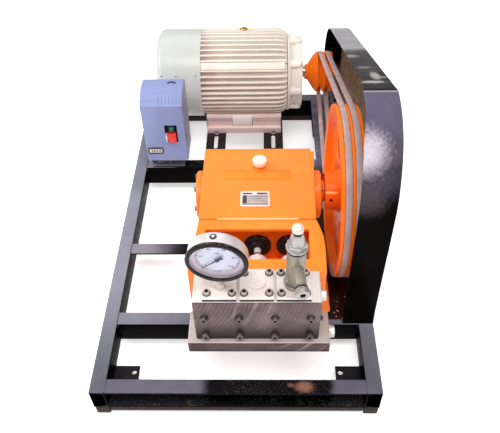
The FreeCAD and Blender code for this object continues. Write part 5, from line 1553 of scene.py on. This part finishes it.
for name in ("inner_belt", "outer_belt"):
    refine(name, M["belt"], bevel=0.9, seg=2, limit=30)

# ---------------------------------------------------------------------------
# Belt guard
# ---------------------------------------------------------------------------
LINE = [(211, 0), (216, 60), (215, 116), (215, 196), (214, 318), (213, 396), (217, 470), (238, 535), (265, 582), (300, 612),
        (341, 631), (393, 640), (1174, 347), (1248, 312), (1298, 268), (1328, 215), (1338, 165), (1336, 110), (1318, 60), (1268, 2)]


def smooth_line(pts, step=6):
    out = []
    for i in range(len(pts) - 1):
        p0, p1, p2 = pts[max(i - 1, 0)], pts[i], pts[i + 1]
        p3 = pts[min(i + 2, len(pts) - 1)]
        for k in range(step):
            t = k / step
            out.append(tuple(0.5 * ((2 * p1[j]) + (-p0[j] + p2[j]) * t + (2 * p0[j] - 5 * p1[j] + 4 * p2[j] - p3[j]) * t * t
                                    + (-p0[j] + 3 * p1[j] - 3 * p2[j] + p3[j]) * t ** 3) for j in range(2)))
    out.append(tuple(pts[-1]))
    return out


front_part = smooth_line([(213, 318), (212.8, 396)] + LINE[6:12], 6)
guard_line = [(211, 0), (213.5, 30), (216, 60), (215.6, 90), (215, 116), (215, 196), (214, 260)] + front_part[:-1]
guard_line += [(393, 640), (396, 639.2)] + [(393 + 781 * t, 640 - 293 * t) for t in (0.05, 0.1, 0.137, 0.2, 0.3, 0.4, 0.5, 0.6, 0.7, 0.8, 0.9, 0.97)]
guard_line += smooth_line(LINE[12:], 5)


def side_step(pts, dist):
    out = []
    for i, q in enumerate(pts):
        a, b = pts[max(i - 1, 0)], pts[min(i + 1, len(pts) - 1)]
        d = Vector((b[0] - a[0], b[1] - a[1])).normalized()
        out.append((q[0] + d.y * dist, q[1] - d.x * dist))
    return out


p = Piece("guard_band_sheet", [M["guard"], M["weld"]])
outer_l = guard_line
inner_l = side_step(guard_line, 3.0)
x1 = 374.9
verts, faces = [], []


def band_edge(y):
    """Left edge of the band: it narrows over the bend and along the slope."""
    marks = [(200, 290.1), (265, 290.1), (341, 296.5), (393, 297.1), (500, 308.1), (1400, 308.1)]
    for (ya, xa), (yb, xb) in zip(marks, marks[1:]):
        if y <= yb:
            return xa + (xb - xa) * (y - ya) / (yb - ya)
    return marks[-1][1]


n = 8
for o, i in zip(outer_l, inner_l):
    x0 = band_edge(o[0])
    for x, d in [(x0 + 0.9, 0.0), (x1 - 0.9, 0.0), (x1, 0.9), (x1, 2.1), (x1 - 0.9, 3.0), (x0 + 0.9, 3.0), (x0, 2.1), (x0, 0.9)]:
        t = d / 3.0
        verts.append((x, o[0] + (i[0] - o[0]) * t, max(0.2, o[1] + (i[1] - o[1]) * t)))
for j in range(len(outer_l) - 1):
    for k in range(n):
        k2 = (k + 1) % n
        faces.append((j * n + k, j * n + k2, (j + 1) * n + k2, (j + 1) * n + k))
faces.append(tuple(range(n)))
faces.append(tuple(range((len(outer_l) - 1) * n, len(outer_l) * n)))
p.add(verts, faces, 0)
# seam of weld across the fold, tack marks where the side panel meets the band
for q in (0.5,):
    p.bead((299, 392.6, 637.6), (373, 392.6, 637.6), 1.7, 3.2, 1, 2.2)
for z in (410.0, 330.0, 240.0):
    p.bead((372.3, 215.6, z - 9), (372.3, 215.6, z + 9), 1.8, 3.0, 1, z)
# feet flats where it stands on the rail, with bolts
p.slab(338, 371.2, 214, 256, 0.1, 5.6, 0.8, 0)
p.slab(338, 371.2, 1222, 1266, 0.1, 5.6, 0.8, 0)
for y in (240.0, 1240.0):
    p.hexhead((355, y, 5.4), (0, 0, 1), 13, 7, 1, 9.0)
p.done("skid", ["guard_band"], 32)

p = Piece("guard_floor_plate", [M["floor_sheet"]])
p.solid([(240.1, 224.1), (371.4, 224.1), (371.4, 1253.9), (259.1, 1253.9), (259.1, 900.0), (253.1, 880.0), (253.1, 650.0),
         (240.1, 640.0)], 0.25, 2.95, "XY", 0.6, 2, 0)
p.done("skid", ["guard_floor_sheet"], 32)

# expanded mesh side panel, with a flat border strip along the band
p = Piece("guard_mesh_panel", [M["mesh"], M["guard"]])
edge_line = side_step(guard_line, 3.2)


def inside(y, z, poly):
    hit = False
    for i in range(len(poly)):
        (ya, za), (yb, zb) = poly[i - 1], poly[i]
        if (za > z) != (zb > z) and y < (yb - ya) * (z - za) / (zb - za) + ya:
            hit = not hit
    return hit


border_in = side_step(guard_line, 16.0)
poly = [(a, max(6.0, b)) for a, b in edge_line]
PY0, PZ0 = 22.0, 12.0
rows = int(660 / (PZ0 / 2)) + 2
strands_v, strands_f = [], []


def strand(a, b, w=1.9):
    a, b = Vector((0, a[0], a[1])), Vector((0, b[0], b[1]))
    d = (b - a).normalized()
    side = Vector((0, -d.z, d.y)) * (w / 2)
    base = len(strands_v)
    for q in (a, b):
        strands_v.extend([(372.1, q.y + side.y, q.z + side.z), (372.1, q.y - side.y, q.z - side.z),
                          (373.8, q.y - side.y * 0.6, q.z - side.z * 0.6), (373.8, q.y + side.y * 0.6, q.z + side.z * 0.6)])
    for k in range(4):
        k2 = (k + 1) % 4
        strands_f.append((base + k, base + k2, base + 4 + k2, base + 4 + k))


for row in range(rows):
    z = 6.0 + row * PZ0 / 2
    off = (row % 2) * PY0 / 2
    cols = int(1150 / PY0) + 1
    for col in range(cols):
        y = 200.0 + off + col * PY0
        for sy in (-1, 1):
            a = (y, z)
            b = (y + sy * PY0 / 2, z + PZ0 / 2)
            if inside(a[0], a[1], poly) and inside(b[0], b[1], poly):
                strand(a, b)
p.add(strands_v, strands_f, 0)
# border strip
verts, faces = [], []
for o, i in zip(edge_line, border_in):
    verts += [(371.9, o[0], max(0.3, o[1])), (374.4, o[0], max(0.3, o[1])), (374.4, i[0], max(0.3, i[1])), (371.9, i[0], max(0.3, i[1]))]
for j in range(len(edge_line) - 1):
    for k in range(4):
        k2 = (k + 1) % 4
        faces.append((j * 4 + k, j * 4 + k2, (j + 1) * 4 + k2, (j + 1) * 4 + k))
faces.append((0, 1, 2, 3))
faces.append(tuple((len(edge_line) - 1) * 4 + k for k in range(4)))
p.add(verts, faces, 1)
p.slab(371.9, 374.4, 222, 1270, 0.4, 14.0, 0.6, 1, None, 1)
p.done("skid", ["guard_side_panel"], 30)

# ---------------------------------------------------------------------------
# Starter box
# ---------------------------------------------------------------------------
p = Piece("starter_case", [M["starter"], M["starter_side"], M["starter_dark"], M["plate_black"], M["screw"], M["plate"]])
YB = 845.0
# the box stands behind its front skin, which has the key window cut out
wx = (-250.0, -209.0, 126.0, 196.0)
back_pts = fillet([(YB + 17, 45), (YB + 17, 282.2), (YB + 35, 293), (YB + 58, 303), (YB + 116, 298), (YB + 116, 45)],
                  [0.3, 0.3, 8, 12, 4, 3], 5)
# the end faces take the lighter side colour: painted light
p.solid(back_pts, -320.0, -183.0, "YZ", 3.0, 3, 0, cap=1)
front_full = fillet([(YB, 45), (YB, 272), (YB + 18, 282.8), (YB + 18, 45)], [3, 6, 0.2, 0.3], 5)
p.solid(front_full, -320.0, wx[0], "YZ", 3.0, 3, 0, ends=(True, False), cap=0)
p.solid(front_full, wx[1], -183.0, "YZ", 3.0, 3, 0, ends=(False, True), cap=0)
low = fillet([(YB, 45), (YB, wx[2]), (YB + 18, wx[2]), (YB + 18, 45)], [3, 0.8, 0.2, 0.2], 3)
p.solid(low, wx[0] - 0.1, wx[1] + 0.1, "YZ", 0.1, 1, 0)
high = fillet([(YB, wx[3]), (YB, 272), (YB + 18, 282.8), (YB + 18, wx[3])], [0.8, 6, 0.2, 0.2], 5)
p.solid(high, wx[0] - 0.1, wx[1] + 0.1, "YZ", 0.1, 1, 0)
# dark lining of the window
p.slab(wx[0], wx[1], YB + 15.5, YB + 17.5, wx[2], wx[3], 0.3, 2, None, 1)
for x in (wx[0], wx[1] - 0.8):
    p.slab(x, x + 0.8, YB + 1.5, YB + 17, wx[2], wx[3], 0.2, 2, None, 1)
for z in (wx[2], wx[3] - 0.8):
    p.slab(wx[0], wx[1], YB + 1.5, YB + 17, z, z + 0.8, 0.2, 2, None, 1)
# grey catch beside the red key
p.slab(-249.5, -244.0, YB - 1, YB + 14, 127, 156, 1.0, 5, None, 1)
# louvre ridges on the top slope
def on_slope(along, out):
    return (YB + 0.857 * along - 0.515 * out, 272.0 + 0.515 * along + 0.857 * out)


for i in range(7):
    x = -262.0 + i * 11.5
    pts = [on_slope(4, -2), on_slope(6, 1.8), on_slope(34, 1.8), on_slope(37, -2)]
    p.solid(fillet(pts, [0.5, 2, 2, 0.5], 3), x - 1.7, x + 1.7, "YZ", 1.2, 2, 0)
# plate below, blank
p.slab(-316, -263, YB - 0.8, YB + 1.0, 76, 104, 0.4, 3, None, 3)
p.slab(-310.5, -268.5, YB - 1.3, YB, 83, 97, 0.3, 5, None, 2)
for x in (-302.0, -293.0, -284.0, -275.0):
    p.slab(x - 2.6, x + 2.6, YB - 1.6, YB - 1.0, 87, 93, 0.1, 2, None, 1)
for x in (-312.6, -266.4):
    for z in (80.0, 100.0):
        p.panhead((x, YB - 0.9, z), (0, -1, 0), 1.6, 0.5, 4, False)
# half round knock-out on top and two lower corner screws on the front
pts = [(-209.5 + 14.5 * math.cos(a), 0) for a in (0,)]
Mk = frame_of((-222.5, YB + 84, 300.9), (0, 0.085, 1), (0, 1, 0))
arc_pts = [(14.5 * math.cos(a), 14.5 * math.sin(a)) for a in [math.radians(-88 + 176 * k / 16) for k in range(17)]]
arc_in = [(6.5 * math.cos(a) - 1.5, 8.0 * math.sin(a)) for a in [math.radians(88 - 176 * k / 16) for k in range(17)]]
p.solid(arc_pts + arc_in, -1.2, 0.5, "XY", 0.1, 1, 2, Mk)
for x in (-313.5, -189.5):
    for z in (52.0,):
        p.panhead((x, YB - 0.2, z), (0, -1, 0), 3.2, 1.2, 4, True, 2)
p.done("skid", ["starter_enclosure"], 36)
p = Piece("start_key_cap", [M["green"]])
p.slab(-235, -219, 844.1, 856, 169, 188, 1.2, 0, None, 3)
p.slab(-231, -223, 843.9, 846, 174, 183, 0.8, 0, None, 2)
p.done("start_key", ["start_button"], 38)
p = Piece("stop_key_cap", [M["red"]])
p.slab(-241, -214, 838.2, 855, 128.5, 163.5, 2.0, 0, None, 3)
p.slab(-236, -219, 837.1, 840, 134, 158, 1.4, 0, None, 2)
p.done("stop_key", ["stop_button"], 38)
refine("starter_bracket", M["skid"], bevel=0.6)
p = Piece("cable_gland_nuts", [M["nylon"], M["dark"]])
for x0 in (-303.0, -252.0):
    Mn = frame_of((x0, 872.0, 0), (0, 0, 1))
    p.lathe([(0, 44.8), (12.4, 44.8), (13, 44), (13, 33.6), (12.4, 32.8), (0, 32.8)], Mn, 36, 0)
    p.hexhead((x0, 872.0, 33.0), (0, 0, -1), 20.6, 10.0, 0)
    p.lathe([(0, 23.0), (9.8, 23.0), (9.4, 18), (6.6, 13.2), (5.0, 12.9), (4.6, 14.5), (0, 14.6)], Mn, 36, 0)
p.done("skid", ["cable_glands"], 38)

# ---------------------------------------------------------------------------
# Floor, light and camera
# ---------------------------------------------------------------------------
t = Mat("floor_pale")
f1 = t.noise(1.6, 4.0, 0.5)
t.set(color=t.mix(t.span(f1, 0.3, 0.7), (0.90, 0.90, 0.90, 1.0), (0.94, 0.94, 0.94, 1.0)), rough=0.9, spec=0.1, glow=0.48)
me = bpy.data.meshes.new("floor_sheet")
me.from_pydata([(-14, -14, -0.0006), (14, -14, -0.0006), (14, 14, -0.0006), (-14, 14, -0.0006)], [], [(0, 1, 2, 3)])
me.materials.append(t.m)
floor = bpy.data.objects.new("floor_sheet", me)
scene.collection.objects.link(floor)

world = bpy.data.worlds.new("studio")
scene.world = world
world.use_nodes = True
wn = world.node_tree
wn.nodes.clear()
wo = wn.nodes.new("ShaderNodeOutputWorld")
bg = wn.nodes.new("ShaderNodeBackground")
tcw = wn.nodes.new("ShaderNodeTexCoord")
sep = wn.nodes.new("ShaderNodeSeparateXYZ")
rmp = wn.nodes.new("ShaderNodeValToRGB")
wn.links.new(tcw.outputs["Generated"], sep.inputs[0])
wn.links.new(sep.outputs["Z"], rmp.inputs["Fac"])
el = rmp.color_ramp.elements
el[0].position, el[0].color = 0.0, (0.30, 0.30, 0.31, 1)
el[1].position, el[1].color = 1.0, (1.0, 0.99, 1.0, 1)
e = el.new(0.30)
e.color = (0.55, 0.55, 0.57, 1)
wn.links.new(rmp.outputs["Color"], bg.inputs["Color"])
bg.inputs["Strength"].default_value = 0.65
wn.links.new(bg.outputs[0], wo.inputs["Surface"])


def softbox(name, loc, target, sx, sy, radiance, color=(1, 1, 1)):
    li = bpy.data.lights.new(name, "AREA")
    li.shape = "RECTANGLE"
    li.size, li.size_y = sx, sy
    li.energy = radiance * math.pi * sx * sy
    li.color = color
    ob = bpy.data.objects.new(name, li)
    scene.collection.objects.link(ob)
    ob.location = loc
    d = (Vector(target) - Vector(loc)).normalized()
    ob.rotation_euler = d.to_track_quat("-Z", "Y").to_euler()
    return ob


softbox("back_softbox", (-0.3, 2.6, 3.3), (0, 0, 0.3), 3.4, 2.0, 1.4, (0.96, 0.95, 1.0))
softbox("key_softbox", (0.2, -1.5, 3.9), (0.05, 0, 0.35), 2.4, 1.5, 9.1, (1.0, 0.99, 0.98))
softbox("left_softbox", (-3.0, -0.1, 2.3), (0.28, -0.2, 0.3), 2.0, 1.4, 7.2)
softbox("low_softbox", (0.6, -4.2, 1.1), (0.33, -0.4, 0.6), 1.6, 0.6, 5.0)

cam = bpy.data.cameras.new("camera")
cam_ob = bpy.data.objects.new("camera", cam)
scene.collection.objects.link(cam_ob)
cam.sensor_width = 36.0
cam.lens = 44.53
cam.clip_start, cam.clip_end = 0.05, 60.0
right = Vector((0.99973, 0.01305, -0.01935))
down = Vector((-0.00393, -0.72302, -0.69082))
ahead = Vector((-0.02301, 0.69071, -0.72277))
cam_ob.matrix_world = Matrix(((right.x, -down.x, -ahead.x, 0.07598), (right.y, -down.y, -ahead.y, -1.45065),
                              (right.z, -down.z, -ahead.z, 1.55536), (0, 0, 0, 1)))
scene.camera = cam_ob
scene.view_settings.view_transform = "Standard"

bpy.context.view_layer.update()
